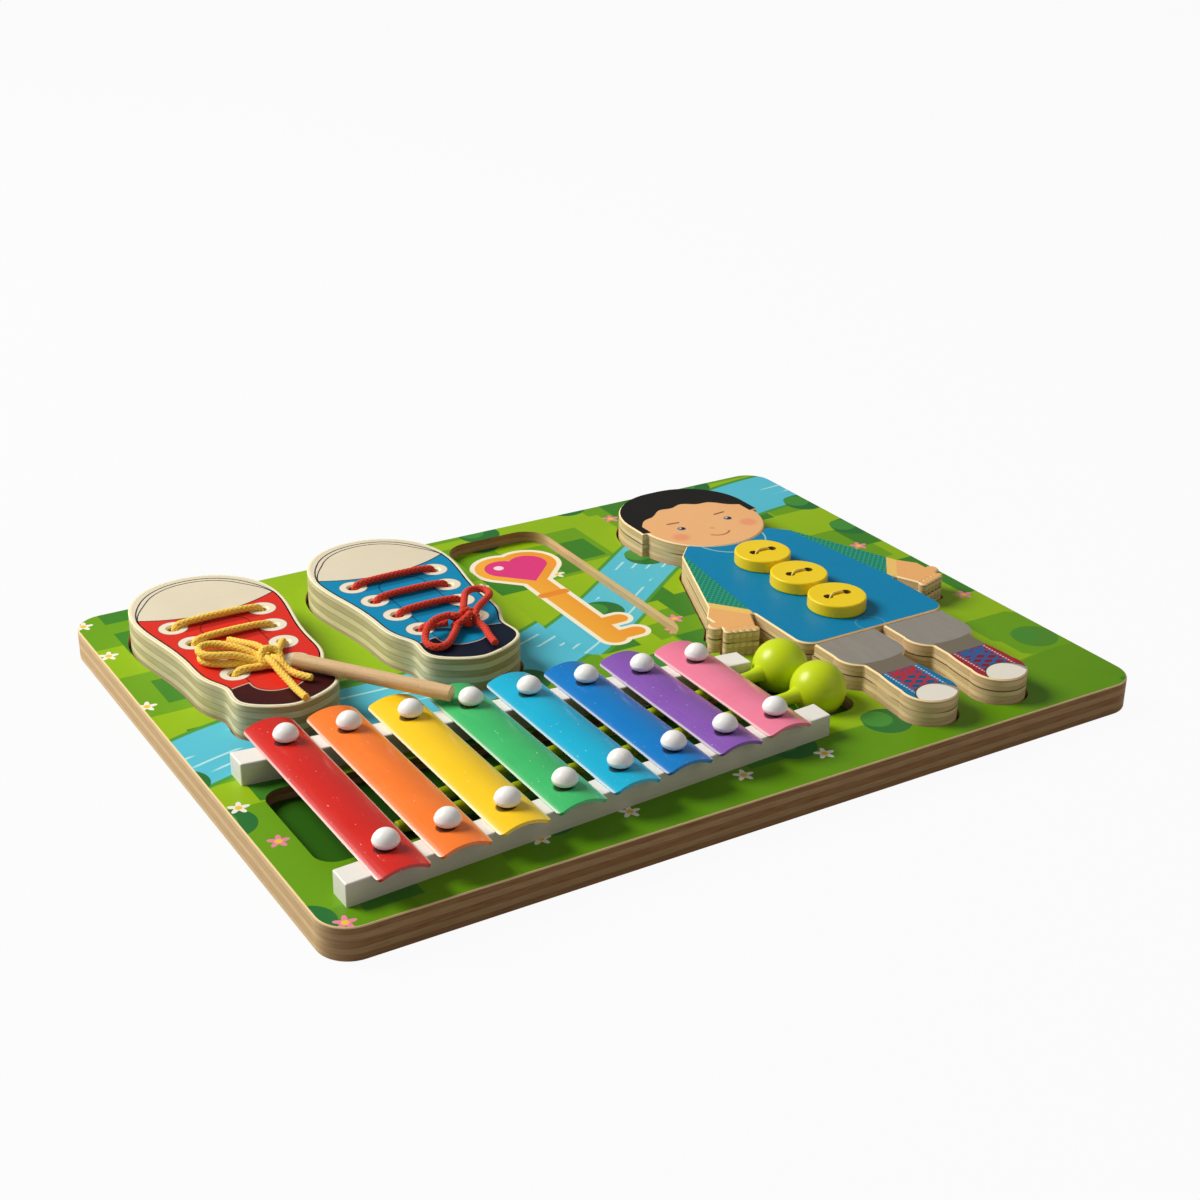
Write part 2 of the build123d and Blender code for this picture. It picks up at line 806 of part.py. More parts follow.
def make_mallet(side, head_x, head_y, tip_x, tip_y):
    head = Vector(head_x, head_y, mallet_ball_z)
    tip = Vector(tip_x, tip_y, mallet_tip_z)
    length = (head - tip).length
    direction = (head - tip).normalized()
    ball = mallet_ball_diameter / 2
    stick = mallet_stick_diameter / 2
    neck = mallet_neck_diameter / 2
    socket_bottom = length - ball + mallet_socket_depth - mallet_neck_length
    neck_start = length - ball - mallet_neck_length
    neck_end = length - math.sqrt(ball**2 - neck**2)
    frame = Plane(origin=tip, z_dir=direction)
    with BuildPart() as mallet_stick:
        with BuildSketch(frame):
            Circle(stick)
        extrude(amount=socket_bottom)
        tip_rim = mallet_stick.edges().filter_by(GeomType.CIRCLE).sort_by(Axis.X)[0]
        fillet(tip_rim, mallet_tip_round)
    save(mallet_stick, f"{side}_mallet_stick")
    with BuildPart() as mallet_head:
        with BuildSketch(Plane(origin=tip, x_dir=direction, z_dir=direction.cross(Vector(0, 0, 1)))):
            with BuildLine():
                Line((neck_start, 0), (neck_start, stick))
                TangentArc((neck_start, stick), (neck_end, neck), tangent=(1, 0))
                rim = math.degrees(math.asin(neck / ball))
                CenterArc((length, 0), ball, 180 - rim, rim - 180)
                Line((length + ball, 0), (neck_start, 0))
            make_face()
        revolve(axis=Axis(tip, direction))
        with BuildSketch(frame):
            Circle(stick)
        extrude(amount=socket_bottom, mode=Mode.SUBTRACT)
    save(mallet_head, f"{side}_mallet_head")


make_mallet("front", front_mallet_head_x, front_mallet_head_y, front_mallet_tip_x, front_mallet_tip_y)
make_mallet("back", back_mallet_head_x, back_mallet_head_y, back_mallet_tip_x, back_mallet_tip_y)

# Loose stick

stick_radius = stick_diameter / 2
stick_pin = Vector(*back_pin_places[bar_names.index(stick_bar)])
stick_left = Vector(
    yellow_knot.X + stick_from_knot_x,
    yellow_knot.Y + stick_from_knot_y,
    shoe_top_z + stick_radius + stick_left_rise,
)
stick_right = Vector(
    stick_pin.X + stick_from_pin_x,
    stick_pin.Y + stick_from_pin_y,
    bar_crown_z + stick_radius,
)
with BuildPart() as wooden_stick:
    with BuildSketch(Plane(origin=stick_left, z_dir=stick_right - stick_left)):
        Circle(stick_radius)
    extrude(amount=(stick_right - stick_left).length)
    fillet(wooden_stick.edges().filter_by(GeomType.CIRCLE), stick_end_round)
save(wooden_stick, "wooden_stick")

# Board: a printed sheet with the cut-outs, glued on a plain backing

with BuildPart() as top_board:
    with BuildSketch(Plane.XY.offset(backing_thickness)):
        RectangleRounded(board_length, board_width, board_corner_radius)
    extrude(amount=top_thickness)
    fillet(top_board.faces().sort_by(Axis.Z)[-1].edges(), board_edge_round)
    with BuildSketch(Plane(origin=(tray_center_x, tray_center_y, backing_thickness))):
        RectangleRounded(tray_width, tray_length, tray_corner_radius)
    extrude(amount=top_thickness, mode=Mode.SUBTRACT)
    for shoe_x in (red_shoe_x, blue_shoe_x):
        with BuildSketch(Plane(origin=(shoe_x, shoe_heel_y, backing_thickness))):
            draw_shoe(shoe_recess_clearance)
        extrude(amount=top_thickness, mode=Mode.SUBTRACT)
    for draw_outline in (draw_head, draw_shirt_body):
        with BuildSketch(Plane(origin=(doll_x, 0, backing_thickness))):
            draw_outline()
            offset(amount=doll_recess_clearance)
        extrude(amount=top_thickness, mode=Mode.SUBTRACT)
    with BuildSketch(Plane(origin=(doll_x, 0, backing_thickness))):
        for side in (-1, 1):
            draw_leg(side, shirt_hem_y + leg_overlap, grow=doll_recess_clearance)
        for place, radius in hand_circles():
            draw_hand_circle(place, radius + doll_recess_clearance)
    extrude(amount=top_thickness, mode=Mode.SUBTRACT)
    with BuildSketch(Plane.XY.offset(backing_thickness)) as channel:
        with BuildLine():
            Polyline(
                (channel_left_x, channel_front_left_y),
                (pocket_right_x, channel_front_right_y),
                (pocket_right_x, pocket_back_y),
                (pocket_left_x, pocket_back_y),
                (pocket_left_x, channel_back_right_y),
                (channel_left_x, channel_back_left_y),
                close=True,
            )
        make_face()
        inner_corner = channel.vertices().sort_by_distance((pocket_left_x, channel_back_right_y, 0))[0]
        fillet([v for v in channel.vertices() if v != inner_corner], channel_corner_radius)
    extrude(amount=top_thickness, mode=Mode.SUBTRACT)
    with BuildSketch(Plane.XY.offset(backing_thickness)):
        with Locations(*screw_places):
            Circle(screw_shank_diameter / 2)
    extrude(amount=top_thickness, mode=Mode.SUBTRACT)
save(top_board, "top_board")

with BuildPart() as backing_board:
    with BuildSketch():
        RectangleRounded(board_length, board_width, board_corner_radius)
    extrude(amount=backing_thickness)
    fillet(backing_board.faces().sort_by(Axis.Z)[0].edges(), board_edge_round)
    revolve_screws(mode=Mode.SUBTRACT)
save(backing_board, "backing_board")
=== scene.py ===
import math
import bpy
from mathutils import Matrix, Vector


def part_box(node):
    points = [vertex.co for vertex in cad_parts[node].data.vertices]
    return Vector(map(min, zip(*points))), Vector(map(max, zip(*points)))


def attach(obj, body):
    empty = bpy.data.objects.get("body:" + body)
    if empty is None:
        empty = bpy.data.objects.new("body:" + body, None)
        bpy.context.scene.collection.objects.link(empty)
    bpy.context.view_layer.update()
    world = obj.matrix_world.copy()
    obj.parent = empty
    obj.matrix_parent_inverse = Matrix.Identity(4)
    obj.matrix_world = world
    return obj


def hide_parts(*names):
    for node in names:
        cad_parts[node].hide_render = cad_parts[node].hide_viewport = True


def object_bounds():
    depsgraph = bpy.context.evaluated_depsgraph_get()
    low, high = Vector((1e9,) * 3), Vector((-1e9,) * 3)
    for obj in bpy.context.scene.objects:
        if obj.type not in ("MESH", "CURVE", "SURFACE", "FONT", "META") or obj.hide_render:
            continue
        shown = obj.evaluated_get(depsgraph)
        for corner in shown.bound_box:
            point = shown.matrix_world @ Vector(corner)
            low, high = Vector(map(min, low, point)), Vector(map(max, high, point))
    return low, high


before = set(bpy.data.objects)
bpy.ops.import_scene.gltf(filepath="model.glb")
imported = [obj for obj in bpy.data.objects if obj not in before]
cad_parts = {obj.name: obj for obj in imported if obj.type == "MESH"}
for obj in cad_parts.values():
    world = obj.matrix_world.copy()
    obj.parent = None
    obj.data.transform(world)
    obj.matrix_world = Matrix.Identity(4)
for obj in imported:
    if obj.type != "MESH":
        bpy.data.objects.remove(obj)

from types import SimpleNamespace

import bpy
from mathutils import Matrix, Vector

cad_low, cad_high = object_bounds()

# Prints, routes and patterns are given in millimetres
MM = 0.001
PRINT_EDGE = 0.3
PRINT_LINE = 0.35
SIDES = (-1, 1)

# Camera, from the photograph's perspective
CAMERA_PLACE = (-0.41805, -0.68234, 0.41038)
CAMERA_YAW = 0.55352
CAMERA_PITCH = 0.43334
CAMERA_ROLL = 0.01279
CAMERA_LENS = 57.575
SENSOR_WIDTH = 36.0


def node_box(node):
    """Lowest and highest corner of a node in millimetres."""
    low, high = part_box(node)
    return low / MM, high / MM


def paint_colour(code):
    """Linear colour from a six-digit display colour."""
    shares = [int(code[i:i + 2], 16) / 255 for i in (0, 2, 4)]
    linear = [s / 12.92 if s <= 0.04045 else ((s + 0.055) / 1.055) ** 2.4 for s in shares]
    return (*linear, 1.0)


class Value:
    """A node's output socket. Operators on it add Math nodes to the same material."""

    def __init__(self, tree, socket=None):
        self.tree = tree
        self.socket = socket

    def make(self, kind, sockets=(), out=0, **settings):
        """Add any node: its settings first, then the values or links of its sockets."""
        node = self.tree.nodes.new(kind)
        for name, setting in settings.items():
            setattr(node, name, setting)
        for key, given in dict(sockets).items():
            if isinstance(given, Value):
                self.tree.links.new(given.socket, node.inputs[key])
            else:
                node.inputs[key].default_value = given
        return Value(self.tree, node.outputs[out])

    def calc(self, operation, *terms, **settings):
        return self.make("ShaderNodeMath", enumerate(terms), operation=operation, **settings)

    def of(self, operation):
        """A Math node with this value as its one term."""
        return self.calc(operation, self)

    def __add__(self, other):
        return self.calc("ADD", self, other)

    __radd__ = __add__

    def __sub__(self, other):
        return self.calc("SUBTRACT", self, other)

    def __rsub__(self, other):
        return self.calc("SUBTRACT", other, self)

    def __mul__(self, other):
        return self.calc("MULTIPLY", self, other)

    __rmul__ = __mul__

    def __truediv__(self, other):
        return self.calc("DIVIDE", self, other)

    def __mod__(self, other):
        return self.calc("FLOORED_MODULO", self, other)

    def __neg__(self):
        return self * -1

    def __abs__(self):
        return self.of("ABSOLUTE")

    def __or__(self, other):
        """Union of two outlines given as distances, negative inside."""
        return self.calc("MINIMUM", self, other)

    def __and__(self, other):
        """Overlap of two outlines given as distances, negative inside."""
        return self.calc("MAXIMUM", self, other)

    def within(self, edge=PRINT_EDGE):
        """Mask that is 1 inside an outline, with a soft edge."""
        return self.calc("MULTIPLY_ADD", self, -1 / edge, 0.5, use_clamp=True)

    def above(self, level, edge):
        """Mask that is 1 where the value is above a level."""
        return (level - self).within(edge)

    def mix(self, under, over):
        """Colour between two colours by this mask."""
        return self.make("ShaderNodeMix", {0: self, 6: under, 7: over}, 2, data_type="RGBA")

    def shade(self, colour, tint):
        """Colour dimmed towards a tint by this mask."""
        settings = dict(data_type="RGBA", blend_type="MULTIPLY")
        return self.make("ShaderNodeMix", {0: self, 6: colour, 7: tint}, 2, **settings)


# Outlines as distances in millimetres, negative inside


def length_of(x, y):
    return (x * x + y * y).of("SQRT")


def disc(x, y, place, radius):
    return length_of(x - place[0], y - place[1]) - radius


def block(x, y, half_x, half_y, corner=0.0):
    """Rounded rectangle about the origin."""
    out_x = abs(x) - (half_x - corner)
    out_y = abs(y) - (half_y - corner)
    return length_of(out_x & 0, out_y & 0) + ((out_x & out_y) | 0) - corner


def stroke(x, y, start, end, width):
    """Straight line with round ends."""
    run = (end[0] - start[0], end[1] - start[1])
    square = run[0] ** 2 + run[1] ** 2
    share = (x - start[0]) * (run[0] / square) + (y - start[1]) * (run[1] / square)
    share = (share & 0) | 1
    return length_of(x - start[0] - share * run[0], y - start[1] - share * run[1]) - width / 2


def arc_stroke(x, y, center, radius, width):
    return abs(length_of(x - center[0], y - center[1]) - radius) - width / 2


def joined(outlines):
    """One outline from several."""
    whole, *others = outlines
    for other in others:
        whole = whole | other
    return whole


def layered(base, *coats):
    """Coats of colour over a base, each with its mask."""
    for mask, coat in coats:
        base = mask.mix(base, coat)
    return base


# Materials


def new_surface(name):
    """A new material, with the place in millimetres and the slope of the surface it is on."""
    material = bpy.data.materials.new(name)
    material.use_nodes = True
    tree = material.node_tree
    blank = Value(tree)
    point = blank.make("ShaderNodeTexCoord", out="Object")
    point = blank.make("ShaderNodeVectorMath", {0: point, 3: 1 / MM}, operation="SCALE")
    normal = blank.make("ShaderNodeTexCoord", out="Normal")
    x, y, z = [blank.make("ShaderNodeSeparateXYZ", {0: point}, axis) for axis in range(3)]
    front = abs(blank.make("ShaderNodeSeparateXYZ", {0: normal}, 1))
    up = blank.make("ShaderNodeSeparateXYZ", {0: normal}, 2)
    shader = tree.nodes["Principled BSDF"]
    return SimpleNamespace(
        material=material, shader=shader, blank=blank, point=point, x=x, y=y, z=z, front=front, up=up
    )


def noise(s, size, stretch=(1, 1, 1), detail=3.0):
    """Noise from 0 to 1 with spots of a size in millimetres, drawn out along the axes."""
    scale = tuple(1 / (size * axis) for axis in stretch)
    place = s.blank.make("ShaderNodeVectorMath", {0: s.point, 1: scale}, operation="MULTIPLY")
    return s.blank.make("ShaderNodeTexNoise", {"Vector": place, "Scale": 1.0, "Detail": detail})


def finish_surface(s, colour, roughness, height=None, bump=0.2, specular=0.5, **constants):
    """Connect the colour, roughness and relief, and set what is the same all over."""
    tree = s.blank.tree
    for socket, given in (("Base Color", colour), ("Roughness", roughness)):
        if isinstance(given, Value):
            tree.links.new(given.socket, s.shader.inputs[socket])
        else:
            s.shader.inputs[socket].default_value = given
    if height is not None:
        relief = s.blank.make("ShaderNodeBump", {"Strength": bump, "Distance": MM, "Height": height})
        tree.links.new(relief.socket, s.shader.inputs["Normal"])
    s.shader.inputs["Specular IOR Level"].default_value = specular
    for socket, constant in constants.items():
        s.shader.inputs[socket.replace("_", " ").title()].default_value = constant
    return s.material


def ply_edge(s, bottom, pitch, pale, brown, contrast, front):
    """Cut edge of plywood. The layers lie crosswise, so each side shows the other ones' end grain. front is
    painted shade on faces turned along y.
    """
    wave = noise(s, 55, (1, 1, 0.6), 2.0)
    level = (s.z - bottom + (wave - 0.5) * 1.1) / pitch
    layer = level.of("FLOOR")
    turned = abs(layer % 2 - s.front)
    streaks = noise(s, 0.8, (12, 12, 1), 4.0)
    # s.front * front is painted shade: faces turned to the front and back come out darker
    tone = turned * contrast + streaks * 0.36 + s.front * front
    glue = (0.43 - abs(level - layer - 0.5)).within(0.12)
    return layered(
        tone.mix(paint_colour(pale), paint_colour(brown)),
        (glue * (0.1 + contrast), paint_colour(brown)),
        (s.up.above(0.2, 0.1), paint_colour(pale)),
    )


# Pale and brown colour, contrast of the layers and how much painted shade darkens the faces turned to the
# front and back
BOARD_PLY = ("E8CA98", "74410F", 0.18, 0.46)
SHOE_PLY = ("F6ECC4", "86702E", 0.36, 0.26)
DOLL_PLY = ("F8DDAA", "845624", 0.24, 0.06)
BOARD_PLY_PITCH = 3.0
SHOE_PLY_PITCH = 3.15
DOLL_PLY_PITCH = 2.4


def printed_wood(s, picture, edge, gloss=0.4):
    """Print on the upper face, plywood on the cut edges."""
    flat = s.up.above(0.965, 0.03)
    fibres = noise(s, 0.6, (10, 1.2, 1), 3.0)
    worn = (noise(s, 45) * 0.15 + fibres * 0.25).shade(picture, paint_colour("D8D4C8"))
    colour = flat.mix(edge, worn)
    roughness = 0.62 - flat * (0.62 - gloss) + (fibres - 0.5) * 0.16
    return finish_surface(s, colour, roughness, fibres, 0.05, specular=0.16)


# Board print: a meadow with a stream, hedges and flowers


STREAM_START = (-200.0, -30.0)
STREAM_SLOPE = 0.35
STREAM_SWING = 22.0
STREAM_LENGTH = 55.0
STREAM_HALF = 21.0
BANK_WIDTH = 2.6
RIPPLE_PITCH = 8.5
RIPPLE_MIDDLE = 4.2
RIPPLE_HALF = 0.7
HEDGE_CELL = 46.0
HEDGE_HALF = 12.0
LAWN_CELL = 62.0
LAWN_HALF = 21.0
BUSH_CELL = 58.0
BUSH_RADIUS = 11.0
BUSH_SHINE = (-3.0, 3.5)
BUSH_SHINE_RADIUS = 7.0
FLOWER_CELL = 47.0
FLOWER_RADIUS = 3.4
FLOWER_HEART = 1.5
PETALS = 5
PETAL_DEPTH = 1.3
# Wavy edge of the darker green strip along the front: drawn as a hill, and also painted shade
DARK_FRONT_Y = -113.0
DARK_FRONT_LENGTH = 46.0
DARK_FRONT_SWING = 9.0
CHANCE_EDGE = 0.01


def scatter(s, size, shape, offset):
    """One cell of scattered things: place within the cell, how far from its middle, and its own colour."""
    moved = s.blank.make("ShaderNodeVectorMath", {0: s.point, 1: (*offset, 0.0)}, operation="ADD")
    sockets = {"Vector": moved, "Scale": 1 / size, "Randomness": 0.75}
    settings = dict(voronoi_dimensions="2D", feature="F1", distance=shape)
    cell = s.blank.make("ShaderNodeTexVoronoi", sockets, "Position", **settings)
    outputs = cell.socket.node.outputs
    distance = Value(s.blank.tree, outputs["Distance"]) * size
    chance = s.blank.make("ShaderNodeSeparateColor", {0: Value(s.blank.tree, outputs["Color"])}, 0)
    centre_x = s.blank.make("ShaderNodeSeparateXYZ", {0: cell}, 0)
    centre_y = s.blank.make("ShaderNodeSeparateXYZ", {0: cell}, 1)
    return SimpleNamespace(
        x=s.x + offset[0] - centre_x, y=s.y + offset[1] - centre_y, distance=distance, chance=chance
    )


def meadow(s):
    """The picture on the board and on the floors of its cut-outs."""
    lime, grass = paint_colour("A0C414"), paint_colour("86B40E")
    field = noise(s, 120, detail=1.0).mix(lime, grass)
    along = s.x - STREAM_START[0]
    swing = (along / STREAM_LENGTH).of("COSINE") * STREAM_SWING
    middle = swing + along * STREAM_SLOPE + STREAM_START[1]
    bank = abs(s.y - middle) - STREAM_HALF
    ripple = abs((s.y - middle) % RIPPLE_PITCH - RIPPLE_MIDDLE) - RIPPLE_HALF
    dashes = noise(s, 22, (1.6, 0.5, 1), 1.0).above(0.56, 0.02)
    hedge = scatter(s, HEDGE_CELL, "CHEBYCHEV", (13.0, 7.0))
    lawn = scatter(s, LAWN_CELL, "CHEBYCHEV", (-21.0, 30.0))
    bush = scatter(s, BUSH_CELL, "EUCLIDEAN", (5.0, -17.0))
    bushes = bush.chance.above(0.45, CHANCE_EDGE)
    crown = length_of(bush.x, bush.y) - BUSH_RADIUS
    shine = disc(bush.x, bush.y, BUSH_SHINE, BUSH_SHINE_RADIUS)
    flower = scatter(s, FLOWER_CELL, "EUCLIDEAN", (31.0, 19.0))
    angle = flower.x.calc("ARCTAN2", flower.y, flower.x)
    out = length_of(flower.x, flower.y)
    petals = out - FLOWER_RADIUS - (angle * PETALS).of("COSINE") * PETAL_DEPTH
    blooms = flower.chance.above(0.42, CHANCE_EDGE) * bank.above(3.0, 0.1)
    pink = flower.chance.above(0.7, CHANCE_EDGE).mix(paint_colour("F7F3EA"), paint_colour("F08AA6"))
    # Darker green strip along the front: a hill in the print, and painted shade of the front as well
    dark_front_strip = s.y - DARK_FRONT_Y + (s.x / DARK_FRONT_LENGTH).of("SINE") * DARK_FRONT_SWING
    lawns = lawn.chance.above(0.4, CHANCE_EDGE)
    hedges = hedge.chance.above(0.5, CHANCE_EDGE)
    return layered(
        field,
        (dark_front_strip.within(1.5), noise(s, 60).mix(paint_colour("528C0C"), paint_colour("6FA210"))),
        ((lawn.distance - LAWN_HALF).within() * lawns, paint_colour("6CA314")),
        ((hedge.distance - HEDGE_HALF).within() * hedges, paint_colour("3E8424")),
        ((bank - BANK_WIDTH).within(), paint_colour("4E9A36")),
        (bank.within(), paint_colour("58C4DC")),
        (ripple.within() * dashes * (bank + 3.0).within(), paint_colour("B5E9EE")),
        (crown.within() * bushes, paint_colour("2A7434")),
        (shine.within() * bushes, paint_colour("439238")),
        (petals.within() * blooms, pink),
        ((out - FLOWER_HEART).within() * blooms, paint_colour("F6C93B")),
    )


KEY_X = 22.0
KEY_BOW_Y = 106.0
KEY_HEART = 10.0
KEY_BOW_RIM = 5.0
KEY_OUTLINE = 2.6
KEY_SHAFT_TOP_Y = 92.0
KEY_SHAFT_END_Y = 16.0
KEY_SHAFT_WIDTH = 12.0
KEY_BITS_Y = (17.0, 33.0)
KEY_BIT_REACH = 13.0
KEY_BIT_WIDTH = 9.0
KEY_COLLAR_Y = 74.0
KEY_COLLAR_HALF = (8.5, 2.6)
KEY_COLLAR_ROUND = 2.0
KEY_SHINE = (-9.0, 115.0)
KEY_SHINE_RADIUS = 2.6


def heart_key(s):
    """Toy key lying along the tray: a heart for a bow, a round shaft and two bits."""
    u = s.x - KEY_X
    v = s.y
    turned_a = (u + v - KEY_BOW_Y) * math.sqrt(0.5)
    turned_b = (v - KEY_BOW_Y - u) * math.sqrt(0.5)
    lobe = KEY_HEART * math.sqrt(0.5)
    lobes = joined(disc(u, v, (side * lobe, KEY_BOW_Y + lobe), KEY_HEART) for side in SIDES)
    heart = block(turned_a, turned_b, KEY_HEART, KEY_HEART) | lobes
    shaft = stroke(u, v, (0.0, KEY_SHAFT_TOP_Y), (0.0, KEY_SHAFT_END_Y), KEY_SHAFT_WIDTH)
    bits = joined(stroke(u, v, (0.0, y), (KEY_BIT_REACH, y), KEY_BIT_WIDTH) for y in KEY_BITS_Y)
    body = (heart - KEY_BOW_RIM) | shaft | bits
    collar = block(u, v - KEY_COLLAR_Y, *KEY_COLLAR_HALF, KEY_COLLAR_ROUND)
    shine = disc(u, v, KEY_SHINE, KEY_SHINE_RADIUS)
    tone = u.calc("MULTIPLY_ADD", u, 0.05, 0.5, use_clamp=True)
    gold = tone.mix(paint_colour("F7B23C"), paint_colour("F2A030"))
    return [
        ((body - KEY_OUTLINE).within(), paint_colour("FBF3DA")),
        (body.within(), gold),
        (collar.within(), paint_colour("EE8F2C")),
        (heart.within(), paint_colour("E23C82")),
        (shine.within(), paint_colour("FBE3EC")),
    ]


CHANNEL_END_Y = -40.0


def board_top_material():
    s = new_surface("printed meadow")
    return printed_wood(s, meadow(s), ply_edge(s, cad_low.z / MM, BOARD_PLY_PITCH, *BOARD_PLY))


def board_back_material():
    """Backing: the picture shows on the floors of the cut-outs, with painted shade as dark green on the
    channel floor under the bars; the underside is bare.
    """
    s = new_surface("backing print")
    # Painted shade: dark green over the floor of the channel under the bars, in front of CHANNEL_END_Y
    channel_shade = (s.y - CHANNEL_END_Y).within(1.0)
    floor = layered(meadow(s), (channel_shade, paint_colour("2E6412")), *heart_key(s))
    return printed_wood(s, floor, ply_edge(s, cad_low.z / MM, BOARD_PLY_PITCH, *BOARD_PLY))


# Shoe print


EYELET_ROWS_Y = (29.5, 48.3, 67.1, 85.9)
EYELET_HEEL_HALF = 14.0
EYELET_TOE_HALF = 21.4
EYELET_RING = 6.7
BAND_DROP = 4.5
BAND_SHORT = 2.5
BAND_HALF = 2.6
BAND_ROUND = 1.5
TOE_CAP_Y = 91.8
TOE_CAP_CURVE = 0.0083
TOE_CAP_LINE = 0.4
TONGUE_Y = 46.0
TONGUE_HALF = (11.5, 40.0)
TONGUE_ROUND = 10.0
SEAM_END_Y = 88.0
HEEL_Y = 19.0
HEEL_CURVE = 0.006
HEEL_GAP = 0.5


def eyelet(side, row):
    """Place of an eyelet from the shoe's centre line; row 0 is next to the heel."""
    share = row / (len(EYELET_ROWS_Y) - 1)
    return side * (EYELET_HEEL_HALF + (EYELET_TOE_HALF - EYELET_HEEL_HALF) * share), EYELET_ROWS_Y[row]


def shoe_material(node, upper, shade, collar, line):
    """Canvas shoe with a cream toe cap, a tongue, a dark heel and a ring round each eyelet."""
    s = new_surface(node + " print")
    low, high = node_box(node)
    u = s.x - (low.x + high.x) / 2
    y = s.y
    rows = range(len(EYELET_ROWS_Y))
    cap_edge = TOE_CAP_Y + u * u * TOE_CAP_CURVE - y
    tongue = block(u, y - TONGUE_Y, *TONGUE_HALF, TONGUE_ROUND)
    heel = (y - HEEL_Y + u * u * HEEL_CURVE) & -(tongue - HEEL_GAP)
    # Darker band just heelward of each row of laces: part of the print, and painted shadow of the lace
    # above it
    lace_shadow_bands = joined(
        block(u, y - EYELET_ROWS_Y[row] + BAND_DROP, eyelet(1, row)[0] - BAND_SHORT, BAND_HALF, BAND_ROUND)
        for row in rows
    )
    rings = joined(disc(u, y, eyelet(side, row), EYELET_RING) for row in rows for side in SIDES)
    seam = (abs(tongue) - PRINT_LINE) & (y - SEAM_END_Y)
    cream = noise(s, 30).mix(paint_colour("E9DFC8"), paint_colour("DDD2B8"))
    picture = layered(
        paint_colour(upper),
        (lace_shadow_bands.within(1.2) * 0.75, paint_colour(shade)),
        (seam.within() * 0.7, paint_colour(line)),
        (heel.within(), paint_colour(collar)),
        ((abs(heel) - PRINT_LINE).within() * 0.6, paint_colour("F0D8C8")),
        (cap_edge.within(), cream),
        ((abs(cap_edge) - TOE_CAP_LINE).within(), paint_colour(line)),
        (rings.within(), paint_colour("EFE6D2")),
        ((abs(rings) - 0.25).within() * 0.5, paint_colour(line)),
    )
    return printed_wood(s, picture, ply_edge(s, low.z, SHOE_PLY_PITCH, *SHOE_PLY))


# Doll prints


GAP_SHADE_HALF = 0.3


def doll_edge(s):
    """Edge of the doll: thin plies, and painted shade of the thin gap where the base meets the pieces on
    it.
    """
    joint_z = node_box("doll_base")[1].z
    edge = ply_edge(s, joint_z, DOLL_PLY_PITCH, *DOLL_PLY)
    # Painted shade: a dark line along the gap over the base, shown in stretches
    gap_shade_line = abs(s.z - joint_z) - GAP_SHADE_HALF
    gaps = noise(s, 28, detail=1.0).above(0.42, 0.12)
    return layered(edge, (gap_shade_line.within(0.4) * gaps * 0.9, paint_colour("2C1E10")))


def doll_middle():
    low, high = node_box("doll_head")
    return (low.x + high.x) / 2


FRINGE_Y = 104.0
FRINGE_CURVE = 0.0155
FRINGE_WAVE = 0.42
FRINGE_DEPTH = 1.1
SIDEBURN_X = 31.0
HAIR_END_Y = 80.0
EYE_OUT = 14.5
EYE_Y = 76.5
EYE_RADIUS = 2.3
PUPIL_SHIFT = 0.5
PUPIL_RADIUS = 1.5
GLINT_SHIFT = (-0.2, 0.8)
GLINT_RADIUS = 0.55
BROW_INNER = (11.5, 84.2)
BROW_OUTER = (17.5, 84.9)
BROW_WIDTH = 1.5
CHEEK = (21.0, 67.0)
CHEEK_RADIUS = 4.4
NOSE = (0.0, 69.5)
NOSE_RADIUS = 1.5
SMILE_CENTRE = (0.0, 66.5)
SMILE_RADIUS = 7.0
SMILE_WIDTH = 1.1
SMILE_TOP_Y = 62.5


def head_material():
    """Dark hair and a plain doll's face: dot eyes, round cheeks and a small smile."""
    s = new_surface("head print")
    u = s.x - doll_middle()
    v = s.y
    skin = noise(s, 40, detail=1.0).mix(paint_colour("F8C088"), paint_colour("F2B478"))
    fringe = FRINGE_Y - u * u * FRINGE_CURVE + (u * FRINGE_WAVE).of("SINE") * FRINGE_DEPTH - v
    hair = (fringe | (SIDEBURN_X - abs(u))) & (HAIR_END_Y - v)
    spots = [side * EYE_OUT for side in SIDES]
    eyes = joined(disc(u, v, (spot, EYE_Y), EYE_RADIUS) for spot in spots)
    pupils = joined(disc(u, v, (spot + PUPIL_SHIFT, EYE_Y), PUPIL_RADIUS) for spot in spots)
    glints = joined(
        disc(u, v, (spot + GLINT_SHIFT[0], EYE_Y + GLINT_SHIFT[1]), GLINT_RADIUS) for spot in spots
    )
    brows = stroke(abs(u), v, BROW_INNER, BROW_OUTER, BROW_WIDTH)
    cheeks = disc(abs(u), v, CHEEK, CHEEK_RADIUS)
    smile = arc_stroke(u, v, SMILE_CENTRE, SMILE_RADIUS, SMILE_WIDTH) & (v - SMILE_TOP_Y)
    nose = disc(u, v, NOSE, NOSE_RADIUS)
    picture = layered(
        skin,
        (cheeks.within(2.5) * 0.55, paint_colour("EE8A6E")),
        (nose.within(0.8) * 0.5, paint_colour("DE8F58")),
        (eyes.within(), paint_colour("7C8490")),
        (pupils.within(), paint_colour("1C181A")),
        (glints.within(), paint_colour("FFFFFF")),
        (brows.within() * 0.8, paint_colour("6A3E24")),
        (smile.within() * 0.85, paint_colour("B0532F")),
        (hair.within(), noise(s, 3, (1, 6, 1)).mix(paint_colour("0E0C0B"), paint_colour("1C1815"))),
    )
    return printed_wood(s, picture, doll_edge(s))


SLEEVE_SHOULDER = (33.0, 44.0)
SLEEVE_ARMPIT = (41.5, -21.7)
DOWN_ARM = (0.789, -0.614)
CUFF_LINE = 46.1
CUFF_WIDTH = 4.9
CHECK_PITCH = 3.3
CHECK_LINE = 0.42
FLAP_CENTRE = (-1.0, -62.0)
FLAP_RADIUS = 7.0
FLAP_LINE = 0.7
COLLAR_CENTRE = (0.0, 55.0)
COLLAR_RADIUS = 19.0
COLLAR_LINE = 0.8


